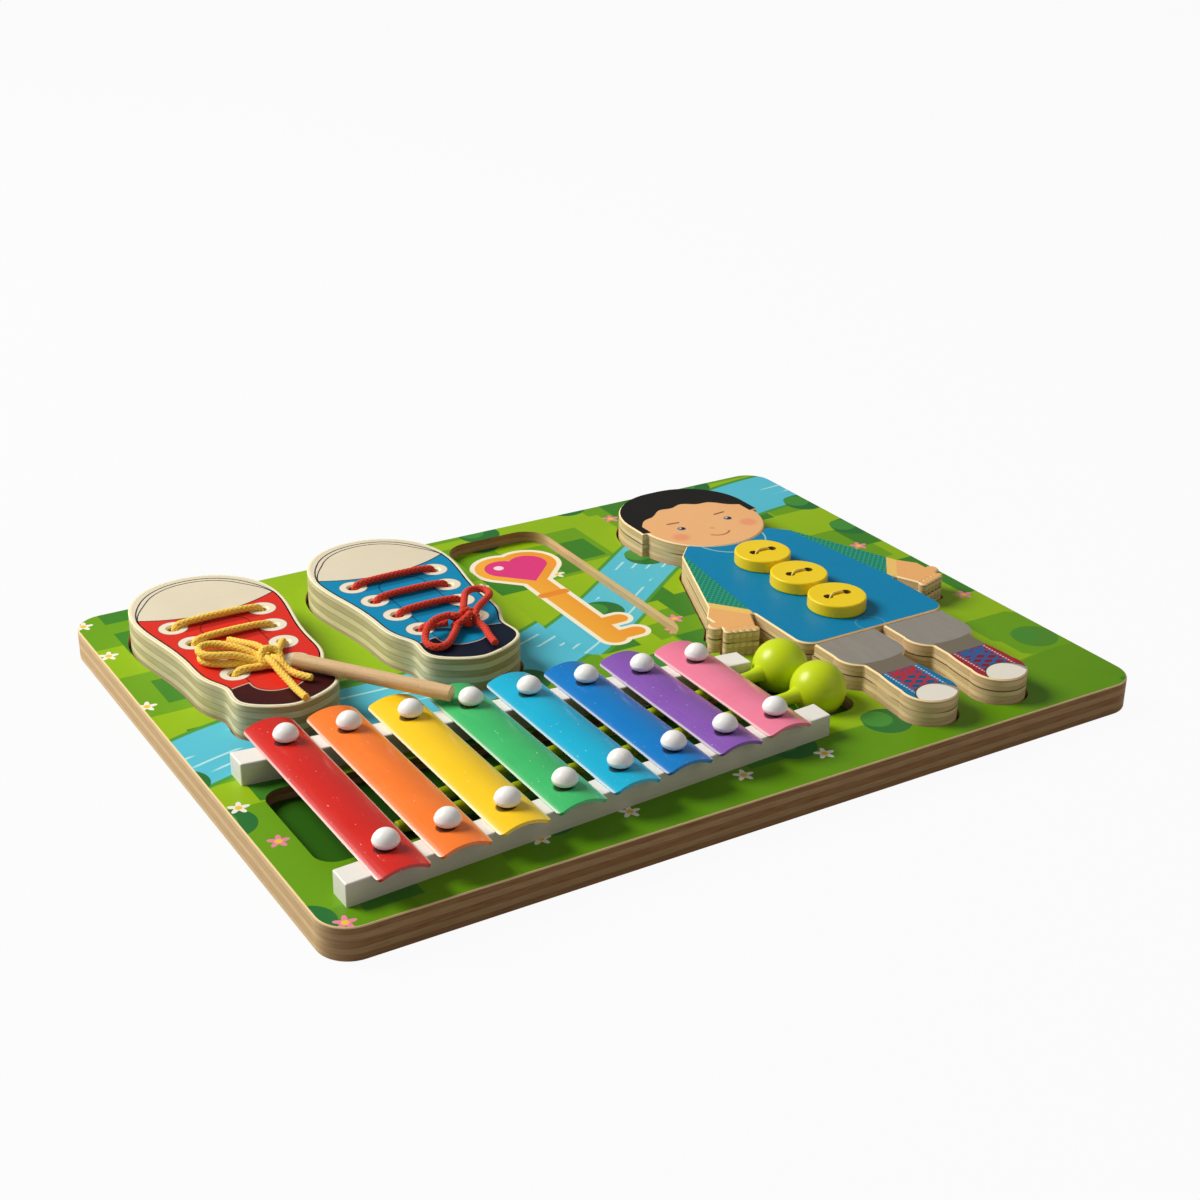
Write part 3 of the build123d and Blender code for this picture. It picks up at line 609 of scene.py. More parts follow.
def shirt_material():
    """Blue shirt with checked sleeves, yellow cuffs and the hands."""
    s = new_surface("shirt print")
    u = s.x - doll_middle()
    v = s.y
    out = abs(u)
    slope = (SLEEVE_ARMPIT[0] - SLEEVE_SHOULDER[0]) / (SLEEVE_ARMPIT[1] - SLEEVE_SHOULDER[1])
    sleeve = SLEEVE_SHOULDER[0] + (v - SLEEVE_SHOULDER[1]) * slope - out
    down_arm = out * DOWN_ARM[0] + v * DOWN_ARM[1]
    half = CHECK_PITCH / 2
    check = abs((u + v) % CHECK_PITCH - half) | abs((u - v) % CHECK_PITCH - half)
    teal = (check - CHECK_LINE).within(0.45).mix(paint_colour("0E7F63"), paint_colour("35A78C"))
    flap = arc_stroke(u, v, FLAP_CENTRE, FLAP_RADIUS, FLAP_LINE)
    collar = arc_stroke(u, v, COLLAR_CENTRE, COLLAR_RADIUS, COLLAR_LINE)
    blue = noise(s, 70, detail=1.0).mix(paint_colour("008CC0"), paint_colour("0082B4"))
    picture = layered(
        blue,
        (flap.within() * 0.7, paint_colour("4BA7D6")),
        (collar.within() * 0.8, paint_colour("B9D8C4")),
        (sleeve.within(), teal),
        ((CUFF_LINE - down_arm).within() * sleeve.within(), paint_colour("F6CD72")),
        ((CUFF_LINE + CUFF_WIDTH - down_arm).within() * sleeve.within(), paint_colour("F6B874")),
    )
    return printed_wood(s, picture, doll_edge(s))


TROUSER_HEM_Y = -95.0
TROUSER_HEM_CURVE = 0.012
ANKLE_Y = -106.0
TOE_CENTRE = (0.0, -134.5)
TOE_RADIUS = 11.2
TOE_LIGHT_CENTRE = (-1.6, -133.4)
TOE_LIGHT_RADIUS = 10.4
PANEL_HALF = 7.0
PANEL_LINE = 0.6
CROSS_PITCH = 5.2
CROSS_SLOPE = 0.62
CROSS_LINE = 0.75
SEAM_OUT = 8.6
SEAM_HALF = 0.4
SEAM_PITCH = 1.8
SEAM_DASH_HALF = 0.5
BOW_Y = -109.0
BOW_OUT = 4.0
BOW_RADIUS = 2.6
BOW_EYE_OUT = 4.4
BOW_EYE_RADIUS = 1.2
BOW_TAIL_END = (4.6, -114.0)
BOW_TAIL_WIDTH = 1.1


def leg_material(node, shoe, shade, lace):
    """Grey trousers, and a canvas shoe with crossed laces, a stitched seam and a white toe cap."""
    s = new_surface(node + " print")
    low, high = node_box(node)
    u = s.x - (low.x + high.x) / 2
    v = s.y
    out = abs(u)
    hem = v - TROUSER_HEM_Y - u * u * TROUSER_HEM_CURVE
    ankle = v - ANKLE_Y
    cap = disc(u, v, TOE_CENTRE, TOE_RADIUS)
    crescent = cap & -disc(u, v, TOE_LIGHT_CENTRE, TOE_LIGHT_RADIUS)
    panel = out - PANEL_HALF
    lean = u * CROSS_SLOPE
    half = CROSS_PITCH / 2
    cross = abs((v + lean) % CROSS_PITCH - half) | abs((v - lean) % CROSS_PITCH - half)
    dash = abs(v % SEAM_PITCH - SEAM_PITCH / 2) - SEAM_DASH_HALF
    stitch = (abs(out - SEAM_OUT) - SEAM_HALF) & dash
    loop = disc(out, v, (BOW_OUT, BOW_Y), BOW_RADIUS) & -disc(out, v, (BOW_EYE_OUT, BOW_Y), BOW_EYE_RADIUS)
    bow = loop | stroke(out, v, (0.0, BOW_Y), BOW_TAIL_END, BOW_TAIL_WIDTH)
    laces = (cross - CROSS_LINE).within() * (panel - PANEL_LINE).within()
    grey = noise(s, 4, (1, 5, 1)).mix(paint_colour("9D9992"), paint_colour("8E8981"))
    upper = noise(s, 1.2).mix(paint_colour(shoe), paint_colour(shade))
    picture = layered(
        grey,
        (hem.within(), paint_colour("7A7263")),
        (ankle.within(), upper),
        (panel.within() * ankle.within() * 0.8, paint_colour(shade)),
        (laces * ankle.within(), paint_colour(lace)),
        (stitch.within() * ankle.within() * 0.8, paint_colour("DCEBF0")),
        (bow.within() * ankle.within(), paint_colour(lace)),
        (cap.within(), paint_colour("F1ECE0")),
        ((abs(cap) - PRINT_LINE).within() * 0.9, paint_colour("2E2A30")),
        (crescent.within() * 0.75, paint_colour("6E6C72")),
    )
    return printed_wood(s, picture, doll_edge(s))


def bare_wood_material():
    s = new_surface("bare ply")
    edge = doll_edge(s)
    fibres = noise(s, 0.8, (10, 1, 1), 4.0)
    flat = s.up.above(0.93, 0.06)
    wood = fibres.mix(paint_colour("D9BE8E"), paint_colour("EAD9B4"))
    return finish_surface(s, flat.mix(edge, wood), 0.62 + fibres * 0.1, fibres, 0.1)


# Painted and turned pieces


PIN_CAP_RADIUS = 5.5
# Size and shift of the painted shade under each pin cap
PIN_SHADE_RADIUS = 4.0
PIN_SHADE_SHIFT = (-1.4, -1.2)
BAR_EDGE_LINE = 0.75
BUTTON_HOLE_OUT = 5.3
BUTTON_HOLE_RADIUS = 2.3


def pin_shade_spot(pins, bar_x):
    """Middle of the painted shade under a pin's cap, in plan: the pin's place, shifted a little to the
    front and left.
    """
    places = [vertex.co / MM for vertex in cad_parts[pins].data.vertices]
    rows = [place.y for place in places if abs(place.x - bar_x) < PIN_CAP_RADIUS]
    return bar_x + PIN_SHADE_SHIFT[0], (min(rows) + max(rows)) / 2 + PIN_SHADE_SHIFT[1]


def bar_material(node, code, bright):
    """Enamelled metal: fine scratches along it, pale nicks, pale edges that are part wear and part painted
    highlight, and painted shade under the pins.
    """
    s = new_surface(node + " enamel")
    low, high = node_box(node)
    bar_x = (low.x + high.x) / 2
    pins = ("front_pins", "back_pins")
    # Painted shade under the pin caps: a dark disc a little in front of and left of each pin
    painted_hole_shade = joined(disc(s.x, s.y, pin_shade_spot(row, bar_x), PIN_SHADE_RADIUS) for row in pins)
    scratches = noise(s, 0.35, (1, 60, 1), 2.0)
    cloud = noise(s, 14)
    nicks = noise(s, 0.8, (1, 3.5, 1), 2.0).above(0.74, 0.03)
    # Pale line along both long edges: partly wear of the enamel, partly a painted highlight on the rounded
    # edge
    edge_wear_and_highlight = (high.x - bar_x - BAR_EDGE_LINE - abs(s.x - bar_x)).within(0.5)
    shade = layered(
        (cloud * 0.55 + scratches * 0.3).mix(paint_colour(code), paint_colour(bright)),
        (edge_wear_and_highlight * 0.5, paint_colour("F4F2EC")),
        (nicks * 0.45, paint_colour("F4F2EC")),
        (painted_hole_shade.within(0.8) * 0.9, paint_colour("1C1210")),
    )
    roughness = 0.16 + scratches * 0.12 + nicks * 0.2
    return finish_surface(s, shade, roughness, scratches, 0.03, specular=0.45)


def gloss_paint_material(name, code, bright, grain, painted_hole_shade=()):
    """Gloss paint on turned wood, with a trace of grain showing through. Each given hole place gets painted
    shade, a dark brown disc inside it.
    """
    s = new_surface(name)
    fibres = noise(s, 0.9, grain, 3.0)
    cloud = noise(s, 12)
    shade = (cloud * 0.7 + fibres * 0.12).mix(paint_colour(code), paint_colour(bright))
    for hole in painted_hole_shade:
        # Painted shade: dark brown inside each hole of a button
        shade = disc(s.x, s.y, hole, BUTTON_HOLE_RADIUS).within().mix(shade, paint_colour("4A2F06"))
    return finish_surface(s, shade, 0.26 + fibres * 0.12, fibres + cloud, 0.02, specular=0.35)


def white_rail_material():
    s = new_surface("white rail paint")
    fibres = noise(s, 0.8, (18, 1, 1), 4.0)
    grime = noise(s, 16)
    # Grime and grain, plus painted shade on faces turned to the front and back; on upward faces all of it
    # is halved
    grime_and_painted_shade = (grime * 0.3 + fibres * 0.2 + s.front * 0.4) * (1 - s.up.above(0.5, 0.4) * 0.5)
    shade = grime_and_painted_shade.mix(paint_colour("F4F2EC"), paint_colour("C6BBA0"))
    return finish_surface(s, shade, 0.42 + fibres * 0.15, fibres, 0.12)


def stick_material():
    """Pale beech with grain along the stick."""
    s = new_surface("stick wood")
    low, high = node_box("wooden_stick")
    along = Vector((high.x - low.x, low.y - high.y, 0)).normalized()
    across = s.x * -along.y + s.y * along.x
    length = s.x * along.x + s.y * along.y
    place = s.blank.make("ShaderNodeCombineXYZ", {0: across, 1: length / 25, 2: s.z})
    fibres = s.blank.make("ShaderNodeTexNoise", {"Vector": place, "Scale": 1.4, "Detail": 5.0})
    flecks = noise(s, 1.1, (1, 1, 1), 2.0).above(0.66, 0.08)
    shade = layered(
        fibres.mix(paint_colour("C79A66"), paint_colour("EDD0A0")),
        (flecks * 0.25, paint_colour("9A6A3C")),
    )
    return finish_surface(s, shade, 0.5 + fibres * 0.12, fibres, 0.1)


def lace_material(name, code, bright, dark):
    """Braided cotton: painted highlight on each plait's crest and painted shade where it dips under the
    next.
    """
    s = new_surface(name)
    yarn = noise(s, 0.25, (1, 1, 1), 3.0)
    crest = s.blank.make("ShaderNodeAttribute", out="Fac", attribute_name="crest")
    # crest paints the highlight towards bright, and (1 - crest) the shade towards dark
    shade = layered(
        (noise(s, 9) * 0.5 + crest * 0.5).mix(paint_colour(code), paint_colour(bright)),
        ((1 - crest) * 0.42 + (yarn - 0.5) * 0.2, paint_colour(dark)),
    )
    sheen = dict(sheen_weight=0.08, sheen_roughness=0.5)
    return finish_surface(s, shade, 0.72 + yarn * 0.15, yarn, 0.25, specular=0.2, **sheen)


def steel_material():
    s = new_surface("plated screw")
    scratches = noise(s, 0.5, (1, 6, 1))
    shade = scratches.mix(paint_colour("9C9C9C"), paint_colour("C9C9C7"))
    return finish_surface(s, shade, 0.28 + scratches * 0.15, scratches, 0.05, metallic=1.0)


def ink_material(name, code):
    s = new_surface(name)
    speckle = noise(s, 0.7)
    lighter = tuple(min(1.0, part + 0.03) for part in paint_colour(code)[:3])
    return finish_surface(s, speckle.mix(paint_colour(code), (*lighter, 1.0)), 0.4 + speckle * 0.1)


def dress(node, material):
    """Give a node its material."""
    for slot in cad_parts[node].material_slots:
        slot.link = "OBJECT"
        slot.material = material


def ease_edges(node, width):
    """Round a node's sharp edges a little, as sanding and paint leave them."""
    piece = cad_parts[node]
    piece.modifiers.new("joined", "WELD").merge_threshold = 1e-6
    easing = piece.modifiers.new("eased", "BEVEL")
    easing.width = width * MM
    easing.segments = 3
    easing.limit_method = "ANGLE"
    easing.angle_limit = math.radians(40)
    piece.modifiers.new("flat faces", "WEIGHTED_NORMAL").keep_sharp = False


BAR_EDGE_ROUND = 0.6
BUTTONS = ("button_1", "button_2", "button_3")
BARS = {
    "red": ("C8160F", "D82E22"),
    "orange": ("F3701A", "FB8B3C"),
    "yellow": ("F6C406", "FAD52E"),
    "green": ("2FAE5C", "4CC47A"),
    "light_blue": ("02A4CC", "1DB9DC"),
    "blue": ("006CBC", "0884CC"),
    "purple": ("7A48A8", "9465BC"),
    "pink": ("E6708F", "EF8FAB"),
}
for bar_name, codes in BARS.items():
    dress("bar_" + bar_name, bar_material("bar_" + bar_name, *codes))
    ease_edges("bar_" + bar_name, BAR_EDGE_ROUND)
dress("top_board", board_top_material())
dress("backing_board", board_back_material())
# The third colour of each shoe is its lace band, painted shadow of the laces
dress("red_shoe", shoe_material("red_shoe", "DE2F22", "A81A1A", "3E0E12", "401014"))
dress("blue_shoe", shoe_material("blue_shoe", "008ABA", "00628E", "08182C", "0C1A28"))
dress("doll_head", head_material())
dress("doll_shirt", shirt_material())
dress("doll_left_leg", leg_material("doll_left_leg", "1A8FC4", "154F7E", "B8303C"))
dress("doll_right_leg", leg_material("doll_right_leg", "C23038", "7A1E30", "2A62A0"))
dress("doll_base", bare_wood_material())
for button in BUTTONS:
    middle = sum(node_box(button), Vector()) / 2
    # Hole places, where painted shade goes inside
    painted_hole_shade = [(middle.x + side * BUTTON_HOLE_OUT, middle.y) for side in SIDES]
    paint = gloss_paint_material(button.replace("_", " ") + " yellow", "F5D008", "FADC26", (1, 8, 1), painted_hole_shade)
    dress(button, paint)
dress("button_pegs", stick_material())
mallet_paint = gloss_paint_material("mallet lime", "C0D806", "D2E426", (8, 1, 1))
rail_paint = white_rail_material()
pin_paint = gloss_paint_material("pin white", "F3F1EE", "FFFFFF", (1, 1, 1))
for side in ("front", "back"):
    dress(side + "_mallet_head", mallet_paint)
    dress(side + "_mallet_stick", mallet_paint)
    dress(side + "_rail", rail_paint)
    dress(side + "_pins", pin_paint)
dress("wooden_stick", stick_material())
dress("rail_screws", steel_material())


# Meshes


def new_piece(name, points, faces, material, body, slot, smooth=True, crests=()):
    """A mesh piece from points in millimetres, riding on a body. crests marks the points of a braid."""
    mesh = bpy.data.meshes.new(name)
    mesh.from_pydata([Vector(point) * MM for point in points], [], faces)
    mesh.polygons.foreach_set("use_smooth", [smooth] * len(faces))
    if crests:
        mesh.attributes.new("crest", "FLOAT", "POINT").data.foreach_set("value", crests)
    mesh.update()
    piece = bpy.data.objects.new(name, mesh)
    bpy.context.scene.collection.objects.link(piece)
    mesh.materials.append(material)
    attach(piece, body)
    return piece


# Laces: braided tubes along smooth lines


LACE_RADIUS = 1.7
LACE_SIDES = 30
LACE_STEP = 0.28
PLAITS = 5
PLAIT_LENGTH = 2.3
PLAIT_DEPTH = 0.18


def smooth_line(route):
    """Points along the line of a NURBS spline whose control points are a route."""
    curve = bpy.data.curves.new("route", "CURVE")
    curve.dimensions = "3D"
    curve.resolution_u = 40
    spline = curve.splines.new("NURBS")
    spline.points.add(len(route) - 1)
    for control, place in zip(spline.points, route):
        control.co = (*place, 1.0)
    spline.order_u = 3
    spline.use_endpoint_u = True
    carrier = bpy.data.objects.new("route", curve)
    mesh = bpy.data.meshes.new_from_object(carrier)
    line = [vertex.co.copy() for vertex in mesh.vertices]
    bpy.data.objects.remove(carrier)
    bpy.data.curves.remove(curve)
    bpy.data.meshes.remove(mesh)
    return line


def even_steps(line, step):
    """Points of a line, about a step apart."""
    kept = [line[0]]
    for point in line[1:]:
        gap = (point - kept[-1]).length
        while gap >= step:
            kept.append(kept[-1].lerp(point, step / gap))
            gap = (point - kept[-1]).length
    if (line[-1] - kept[-1]).length < step / 2:
        kept.pop()
    kept.append(line[-1])
    return kept


def tube_faces(rings, sides):
    """Faces of a closed tube whose points lie ring after ring."""
    faces = []
    for ring in range(rings - 1):
        low, high = ring * sides, (ring + 1) * sides
        for side in range(sides):
            after = (side + 1) % sides
            faces.append((low + side, low + after, high + after, high + side))
    faces.append(tuple(reversed(range(sides))))
    faces.append(tuple(range((rings - 1) * sides, rings * sides)))
    return faces


def braid(line, radius, tips=(1.0, 1.0)):
    """Points, faces and crests of a braided tube. tips are shares of the radius at the two ends."""
    points, crests = [], []
    across = (line[1] - line[0]).normalized().orthogonal().normalized()
    travelled = 0.0
    for index, place in enumerate(line):
        behind = line[max(index - 1, 0)]
        ahead = line[min(index + 1, len(line) - 1)]
        turned = (ahead - behind).normalized()
        across = (across - turned * across.dot(turned)).normalized()
        upward = turned.cross(across)
        travelled += (place - behind).length
        tip = tips[0] if index == 0 else tips[1] if index == len(line) - 1 else 1.0
        for side in range(LACE_SIDES):
            angle = 2 * math.pi * side / LACE_SIDES
            phase = 2 * math.pi * travelled / PLAIT_LENGTH
            crest = max(math.cos(PLAITS * angle + phase), math.cos(PLAITS * angle - phase))
            crests.append((1 + crest) / 2)
            reach = (radius - PLAIT_DEPTH + PLAIT_DEPTH * crest) * tip
            points.append(place + across * (math.cos(angle) * reach) + upward * (math.sin(angle) * reach))
    return points, tube_faces(len(line), LACE_SIDES), crests


def add_braid(name, route, material, body, slot, replaced, tips=(1.0, 1.0)):
    """A braided lace along a route in millimetres; gives the piece and its line."""
    line = even_steps(smooth_line([Vector(place) for place in route]), LACE_STEP)
    points, faces, crests = braid(line, LACE_RADIUS, tips)
    piece = new_piece(name, points, faces, material, body, slot, crests=crests)
    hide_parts(*replaced)
    return piece, line


def declare_lace(line):
    """Work out the length of a stretch of lace and its points in metres; nothing keeps them."""
    length = sum((b - a).length for a, b in zip(line, line[1:]))
    line[0] * MM
    [place * MM for place in line]


LACE_TOP_Z = 33.0
LACE_LOW_Z = 11.0
HOLE_BEND = 3.6
HOLE_TOP_Z = 30.5
HOLE_LOW_Z = 13.5


def threaded_route(shoe_x, threading):
    """Route through the eyelets. threading lists side, row from the heel and way of each eyelet."""
    shoe = Vector((shoe_x, 0, 0))
    painted_hole_shade = [(shoe + Vector((*eyelet(side, row), 0)), way) for side, row, way in threading]
    route = []
    for index, (hole, way) in enumerate(painted_hole_shade):
        levels = (LACE_TOP_Z, HOLE_TOP_Z, HOLE_LOW_Z, LACE_LOW_Z)
        if way == "up":
            levels = levels[::-1]
        before = painted_hole_shade[index - 1][0] if index else None
        after = painted_hole_shade[index + 1][0] if index + 1 < len(painted_hole_shade) else None
        if before is not None:
            route.append(hole + (before - hole).normalized() * HOLE_BEND + Vector((0, 0, levels[0])))
        route += [hole + Vector((0, 0, levels[1])), hole + Vector((0, 0, levels[2]))]
        if after is not None:
            route.append(hole + (after - hole).normalized() * HOLE_BEND + Vector((0, 0, levels[3])))
    return route


RING_LIFT = 0.4
RING_LEAN = 2.5
RING_HIGH_SIDE = math.radians(95)
RING_START = math.radians(-75)
RING_STEPS = 24
TUCK_STEPS = 3
TUCK_SHARE = 0.3
CROSSED_STEPS = 36


def ring_knot(centre, half):
    """Strand once round the others: high at the back, low under the tails, its ends tucked in."""
    route = []
    for step in range(RING_STEPS + 1):
        angle = RING_START + 2 * math.pi * step / RING_STEPS
        tuck = 1 - TUCK_SHARE * max(0, step - RING_STEPS + TUCK_STEPS) / TUCK_STEPS
        lean = RING_LIFT + RING_LEAN * math.cos(angle - RING_HIGH_SIDE)
        across = (half[0] - LACE_RADIUS) * math.cos(angle) * tuck
        along = (half[1] - LACE_RADIUS) * math.sin(angle) * tuck
        route.append(centre + Vector((across, along, lean)))
    return route


def crossed_knot(centre, half):
    """Strand that winds over and under itself within the size of the knot."""
    reach_x, reach_y, reach_z = [size - LACE_RADIUS for size in half]
    route = []
    for step in range(CROSSED_STEPS + 1):
        t = 2 * math.pi * step / CROSSED_STEPS
        wide = (2 + math.cos(3 * t)) / 3
        across = reach_x * wide * math.cos(2 * t)
        along = reach_y * wide * math.sin(2 * t)
        route.append(centre + Vector((across, along, reach_z * math.sin(3 * t))))
    return route


# Yellow lace of the red shoe: knot, and routes of the bow as offsets from the knot


# Lace colours: plain, painted highlight on the crests, painted shade in the dips
yellow_lace = lace_material("yellow lace", "FFC632", "FFE26C", "C8871C")
YELLOW_KNOT = Vector((-147.0, 28.0, 35.2))
YELLOW_KNOT_HALF = (6.0, 5.5, 3.8)
YELLOW_THREADING = (
    (1, 1, "down"),
    (1, 2, "up"),
    (-1, 2, "down"),
    (-1, 3, "up"),
    (1, 3, "down"),
    (-1, 0, "up"),
)
YELLOW_FIRST_STRAND = (3.6, 3.0, -1.0)
YELLOW_RUN_LEAD = Vector((-1.6, -2.6, 2.5))
YELLOW_UPPER_LOOP = [
    (-4.6, 0.6, -1.4),
    (-12.0, 6.8, 1.5),
    (-19.5, 9.6, 1.7),
    (-25.4, 13.0, 1.7),
    (-26.6, 19.0, 1.7),
    (-22.2, 23.6, 1.7),
    (-15.2, 20.6, 1.8),
    (-8.4, 12.0, 1.4),
    (-2.6, 4.2, -0.9),
]
YELLOW_HEEL_TAIL = [
    (-1.9, -4.4, 1.6),
    (-1.4, -13.4, -0.6),
    (-0.6, -22.0, -1.9),
    (-0.9, -30.4, -2.2),
    (-0.2, -38.6, -2.0),
]
YELLOW_LOWER_LOOP = [
    (-4.6, 2.4, -1.7),
    (-11.0, 5.6, -2.1),
    (-18.0, 8.4, -2.2),
    (-24.5, 12.5, -2.2),
    (-26.0, 18.5, -2.2),
    (-22.0, 23.0, -2.2),
    (-15.0, 20.0, -2.2),
    (-8.4, 12.6, -2.1),
    (-0.9, 4.6, -1.4),
]
YELLOW_SIDE_TAIL = [
    (2.0, -4.2, 1.2),
    (3.2, -10.6, -2.2),
    (5.2, -17.2, -2.2),
    (9.4, -22.8, -2.2),
]
YELLOW_LAST_STRAND = [
    (-16.3, 1.5, -8.0),
    (-16.3, 1.5, -4.0),
    (-12.4, 0.4, -2.2),
    (-4.6, -2.4, -2.1),
    (0.4, -1.8, -1.6),
    (2.0, 0.8, -1.3),
]
YELLOW_BACK_TAIL = [
    (1.4, 3.8, -0.9),
    (-0.4, 13.0, 0.4),
    (-4.4, 21.6, -1.0),
    (-8.3, 29.6, -1.9),
]
BARE_TIP = (1.0, 0.55)


def from_knot(knot, offsets):
    return [knot + Vector(offset) for offset in offsets]


shoe_low, shoe_high = node_box("red_shoe")
yellow_run = threaded_route((shoe_low.x + shoe_high.x) / 2, YELLOW_THREADING)
yellow_lead = from_knot(YELLOW_KNOT, [YELLOW_FIRST_STRAND]) + [yellow_run[0] + YELLOW_RUN_LEAD]
yellow_run = yellow_lead + yellow_run
add_braid("yellow_lace_threaded", yellow_run, yellow_lace, "red_shoe", "yellow_lace", ["yellow_lace_run"])
yellow_tie, _ = add_braid(
    "yellow_tied_knot",
    ring_knot(YELLOW_KNOT, YELLOW_KNOT_HALF),
    yellow_lace,
    "red_shoe",
    "yellow_lace",
    ["yellow_lace_knot"],
)
for name, offsets, nodes, on_cord in (
    (
        "yellow_bow_upper",
        YELLOW_UPPER_LOOP + YELLOW_HEEL_TAIL,
        ["yellow_lace_upper_loop", "yellow_lace_heel_tail"],
        [yellow_tie],
    ),
    (
        "yellow_bow_lower",
        YELLOW_LOWER_LOOP + YELLOW_SIDE_TAIL,
        ["yellow_lace_lower_loop", "yellow_lace_side_tail"],
        [],
    ),
    ("yellow_last_strand", YELLOW_LAST_STRAND + YELLOW_BACK_TAIL, ["yellow_lace_back_tail"], []),
):
    route = from_knot(YELLOW_KNOT, offsets)
    piece, line = add_braid(name, route, yellow_lace, "red_shoe", "yellow_lace", nodes, BARE_TIP)
    declare_lace(line)

# Red lace of the blue shoe


# Lace colours: plain, painted highlight on the crests, painted shade in the dips
red_lace = lace_material("red lace", "CC281C", "EA4E36", "7A120C")
RED_KNOT = Vector((-56.5, 21.0, 35.6))
RED_KNOT_HALF = (8.5, 5.5, 4.2)
RED_THREADING = (
    (1, 0, "down"),
    (1, 1, "up"),
    (-1, 1, "down"),
    (-1, 2, "up"),
    (1, 2, "down"),
    (1, 3, "up"),
    (-1, 3, "down"),
    (-1, 0, "up"),
)
RED_FIRST_STRAND = (5.0, 3.2, -1.0)
RED_LAST_STRAND = (-6.7, 2.0, -1.6)
RED_RUN_LEAD = Vector((-1.8, -1.0, 2.5))
RED_RUN_END = Vector((2.2, -1.6, 2.5))
RED_RIGHT_LOOP = [
    (1.9, 3.2, 2.6),
    (6.9, 12.0, 2.6),
    (11.5, 20.0, 2.2),
    (17.5, 24.0, 1.4),
    (22.7, 21.4, 1.0),
    (22.7, 15.2, 1.2),
    (17.1, 9.8, 1.8),
    (6.1, 0.6, 2.0),
]
RED_HEEL_TAIL = [
    (4.5, -4.1, -0.8),
    (5.9, -10.6, -2.0),
    (4.1, -17.6, -2.6),
    (3.1, -25.0, -2.6),
]
RED_LEFT_LOOP = [
    (-5.5, 1.5, 2.4),
    (-12.5, 2.2, 2.4),
    (-19.1, -1.6, 0.6),
    (-23.7, -8.0, -1.8),
    (-23.9, -14.4, -2.5),
    (-18.9, -17.4, -2.6),
    (-12.5, -12.8, -2.6),
    (-4.9, -3.6, -1.6),
]
shoe_low, shoe_high = node_box("blue_shoe")
red_run = threaded_route((shoe_low.x + shoe_high.x) / 2, RED_THREADING)
red_lead = from_knot(RED_KNOT, [RED_FIRST_STRAND]) + [red_run[0] + RED_RUN_LEAD]
red_end = [red_run[-1] + RED_RUN_END] + from_knot(RED_KNOT, [RED_LAST_STRAND])
red_run = red_lead + red_run + red_end
add_braid("red_lace_threaded", red_run, red_lace, "blue_shoe", "red_lace", ["red_lace_run"])
red_tie, _ = add_braid(
    "red_tied_knot",
    crossed_knot(RED_KNOT, RED_KNOT_HALF),
    red_lace,
    "blue_shoe",
    "red_lace",
    ["red_lace_knot"],
)
for name, offsets, nodes, far_end, tips, on_cord in (
    (
        "red_bow_right",
        RED_RIGHT_LOOP + RED_HEEL_TAIL,
        ["red_lace_right_loop", "red_lace_heel_tail"],
        "bare",
        BARE_TIP,
        [red_tie],
    ),
    ("red_bow_left", RED_LEFT_LOOP, ["red_lace_left_loop"], "knot", (1.0, 1.0), []),
):
    route = from_knot(RED_KNOT, offsets)
    piece, line = add_braid(name, route, red_lace, "blue_shoe", "red_lace", nodes, tips)
    declare_lace(line)


# Bare rims and printed lines along the edges of the shoes, laid on their flat tops


TOP_FLATNESS = 0.004


def top_outline(node):
    """Longest edge loop of a node's flat top, in millimetres."""
    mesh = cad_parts[node].data
    top = max(vertex.co.z for vertex in mesh.vertices)
    keys = [tuple(round(part / MM, 3) for part in vertex.co) for vertex in mesh.vertices]
    edges = {}
    for face in mesh.polygons:
        corners = [keys[index] for index in face.vertices]
        if min(corner[2] for corner in corners) > top / MM - TOP_FLATNESS:
            for start, end in zip(corners, corners[1:] + corners[:1]):
                edges[start, end] = True
    onward = {start: end for start, end in edges if (end, start) not in edges}
    loops = []
    while onward:
        start, place = onward.popitem()
        loop = [start]
        while place in onward:
            loop.append(place)
            place = onward.pop(place)
        loops.append([Vector(corner) for corner in loop])
    return max(loops, key=lambda loop: sum((b - a).length for a, b in zip(loop, loop[1:])))


LINE_LIFT = 0.04
TOE_START_Y = 96.0
TOE_END_Y = 122.0


def toe_share(place):
    """Share that grows smoothly from 0 at the laces to 1 at the toe."""
    share = min(1.0, max(0.0, (place.y - TOE_START_Y) / (TOE_END_Y - TOE_START_Y)))
    return share * share * (3 - 2 * share)


def rim_line(name, shoe, inset, toe_inset, width, material, slot):
    """Thin printed line that follows the edge of a shoe, with a wider inset round the toe."""
    outline = top_outline(shoe)
    points, faces = [], []
    count = len(outline)
    for index, place in enumerate(outline):
        run = outline[(index + 1) % count] - outline[index - 1]
        inward = Vector((-run.y, run.x, 0)).normalized()
        near = inset + toe_inset * toe_share(place)
        for depth in (near, near + width):
            points.append(place + inward * depth + Vector((0, 0, LINE_LIFT)))
    for index in range(count):
        after = (index + 1) % count
        faces.append((2 * index, 2 * after, 2 * after + 1, 2 * index + 1))
    new_piece(name, points, faces, material, shoe, slot, smooth=False)


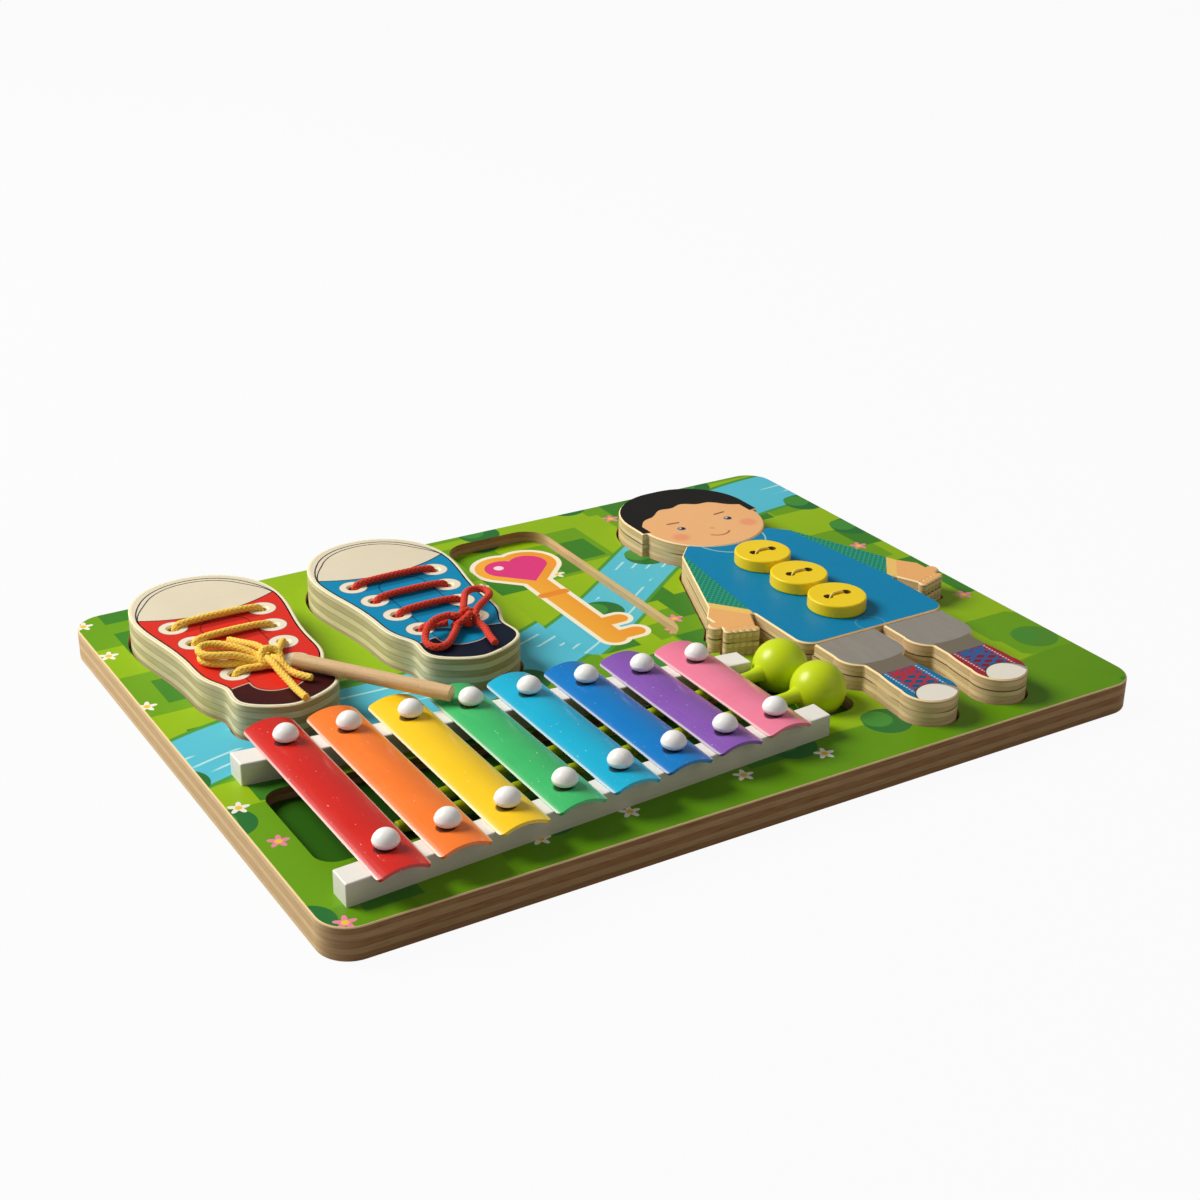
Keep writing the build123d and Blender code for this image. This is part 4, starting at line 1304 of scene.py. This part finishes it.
RIM_WIDTH = 1.1
OUTLINE_WIDTH = 0.7
OUTLINE_TOE_INSET = 2.4
CAP_LINE_WIDTH = 0.6
CAP_LINE_TOE_INSET = 5.0
rim_cream = ink_material("rim cream", "EFE6C4")
rim_ink = ink_material("rim ink", "2B2A30")
for shoe, slot in (("red_shoe", "red_wood"), ("blue_shoe", "blue_wood")):
    rim_line(shoe + "_rim", shoe, 0.0, 0.0, RIM_WIDTH, rim_cream, slot)
    rim_line(shoe + "_outline", shoe, RIM_WIDTH, OUTLINE_TOE_INSET, OUTLINE_WIDTH, rim_ink, slot)
    rim_line(shoe + "_cap_line", shoe, RIM_WIDTH, CAP_LINE_TOE_INSET, CAP_LINE_WIDTH, rim_ink, slot)


# Stitches of the buttons: a raised thread from one hole to the other


STITCH_RADIUS = 0.65
STITCH_SIDES = 12
STITCH_ROUTE = [
    (-4.3, 0.0, -1.8),
    (-3.7, 0.1, 0.2),
    (-1.6, 0.7, 0.7),
    (1.6, 0.7, 0.7),
    (3.7, 0.1, 0.2),
    (4.3, 0.0, -1.8),
]


def plain_tube(line, radius, sides):
    """Points and faces of a smooth round tube along a line."""
    points = []
    for index, place in enumerate(line):
        ahead = (line[min(index + 1, len(line) - 1)] - line[max(index - 1, 0)]).normalized()
        across = ahead.cross(Vector((0, 1, 0))).normalized()
        upward = across.cross(ahead)
        for side in range(sides):
            angle = 2 * math.pi * side / sides
            points.append(place + (across * math.cos(angle) + upward * math.sin(angle)) * radius)
    return points, tube_faces(len(line), sides)


thread = gloss_paint_material("button thread", "F0CE4A", "F9E07C", (1, 1, 1))
for button in BUTTONS:
    button_low, button_high = node_box(button)
    middle = (button_low + button_high) / 2
    middle.z = button_high.z
    line = smooth_line([middle + Vector(offset) for offset in STITCH_ROUTE])
    tube = plain_tube(line, STITCH_RADIUS, STITCH_SIDES)
    new_piece(button + "_stitch", *tube, thread, button, "yellow_wood")


# Camera, floor and light


def aim(yaw, pitch, roll):
    """Rotation of a camera that looks along a yaw from +Y towards +X and down by a pitch."""
    level = math.cos(pitch)
    ahead = Vector((math.sin(yaw) * level, math.cos(yaw) * level, -math.sin(pitch)))
    right = Vector((math.cos(yaw), -math.sin(yaw), 0))
    upward = right.cross(ahead)
    side = right * math.cos(roll) + upward * math.sin(roll)
    top = upward * math.cos(roll) - right * math.sin(roll)
    return Matrix((side, top, -ahead)).transposed()


camera_data = bpy.data.cameras.new("camera")
camera_data.sensor_width = SENSOR_WIDTH
camera_data.lens = CAMERA_LENS
camera = bpy.data.objects.new("camera", camera_data)
bpy.context.scene.collection.objects.link(camera)
camera_turn = aim(CAMERA_YAW, CAMERA_PITCH, CAMERA_ROLL)
camera.matrix_world = Matrix.Translation(CAMERA_PLACE) @ camera_turn.to_4x4()
bpy.context.scene.camera = camera

FLOOR_HALF = 30.0
FLOOR_DROP = 0.0002
FLOOR_WHITE = 0.95
FLOOR_GREY = 0.42
FLOOR_ROUGHNESS = 0.9
floor_mesh = bpy.data.meshes.new("floor")
floor_z = cad_low.z - FLOOR_DROP
floor_corners = [(x * FLOOR_HALF, y * FLOOR_HALF, floor_z) for x, y in ((-1, -1), (1, -1), (1, 1), (-1, 1))]
floor_mesh.from_pydata(floor_corners, [], [(0, 1, 2, 3)])
floor = bpy.data.objects.new("floor", floor_mesh)
bpy.context.scene.collection.objects.link(floor)


def floor_material():
    """Pale floor that keeps the object's shadow; seen directly or in a gloss it is lifted to white."""
    s = new_surface("floor white")
    s.shader.inputs["Base Color"].default_value = (FLOOR_GREY, FLOOR_GREY, FLOOR_GREY, 1)
    s.shader.inputs["Roughness"].default_value = FLOOR_ROUGHNESS
    seen = s.blank.make("ShaderNodeLightPath", out="Is Camera Ray")
    glossy = s.blank.make("ShaderNodeLightPath", out="Is Glossy Ray")
    through = s.blank.make("ShaderNodeLightPath", out="Is Transmission Ray")
    glow = s.blank.make("ShaderNodeEmission", {"Strength": 1.0})
    plain = Value(s.blank.tree, s.shader.outputs[0])
    lifted = (seen + glossy + through) * FLOOR_WHITE
    mixed = s.blank.make("ShaderNodeMixShader", {0: lifted, 1: plain, 2: glow})
    s.blank.tree.links.new(mixed.socket, s.blank.tree.nodes["Material Output"].inputs["Surface"])
    return s.material


floor_mesh.materials.append(floor_material())


def add_area(name, place, size, power, tint):
    """Round lamp that is aimed at the middle of the panel."""
    lamp = bpy.data.lights.new(name, "AREA")
    lamp.shape = "DISK"
    lamp.size = size
    lamp.energy = power
    lamp.color = tint
    carrier = bpy.data.objects.new(name, lamp)
    bpy.context.scene.collection.objects.link(carrier)
    carrier.location = place
    carrier.rotation_euler = (-Vector(place)).to_track_quat("-Z", "Y").to_euler()


WORLD_LIGHT = 0.22
WORLD_SEEN = 0.955
add_area("window", place=(-1.15, 1.1, 1.4), size=1.1, power=54.0, tint=(1.0, 0.97, 0.92))
add_area("fill", place=(0.9, -1.2, 1.1), size=1.6, power=3.0, tint=(1.0, 0.88, 0.74))
world = bpy.data.worlds.new("studio")
world.use_nodes = True
backdrop = world.node_tree.nodes["Background"]
backdrop.inputs["Color"].default_value = (1, 1, 1, 1)
camera_ray = Value(world.node_tree).make("ShaderNodeLightPath", out="Is Camera Ray")
sky = WORLD_LIGHT + camera_ray * (WORLD_SEEN - WORLD_LIGHT)
world.node_tree.links.new(sky.socket, backdrop.inputs["Strength"])
bpy.context.scene.world = world
bpy.context.scene.view_settings.view_transform = "Standard"
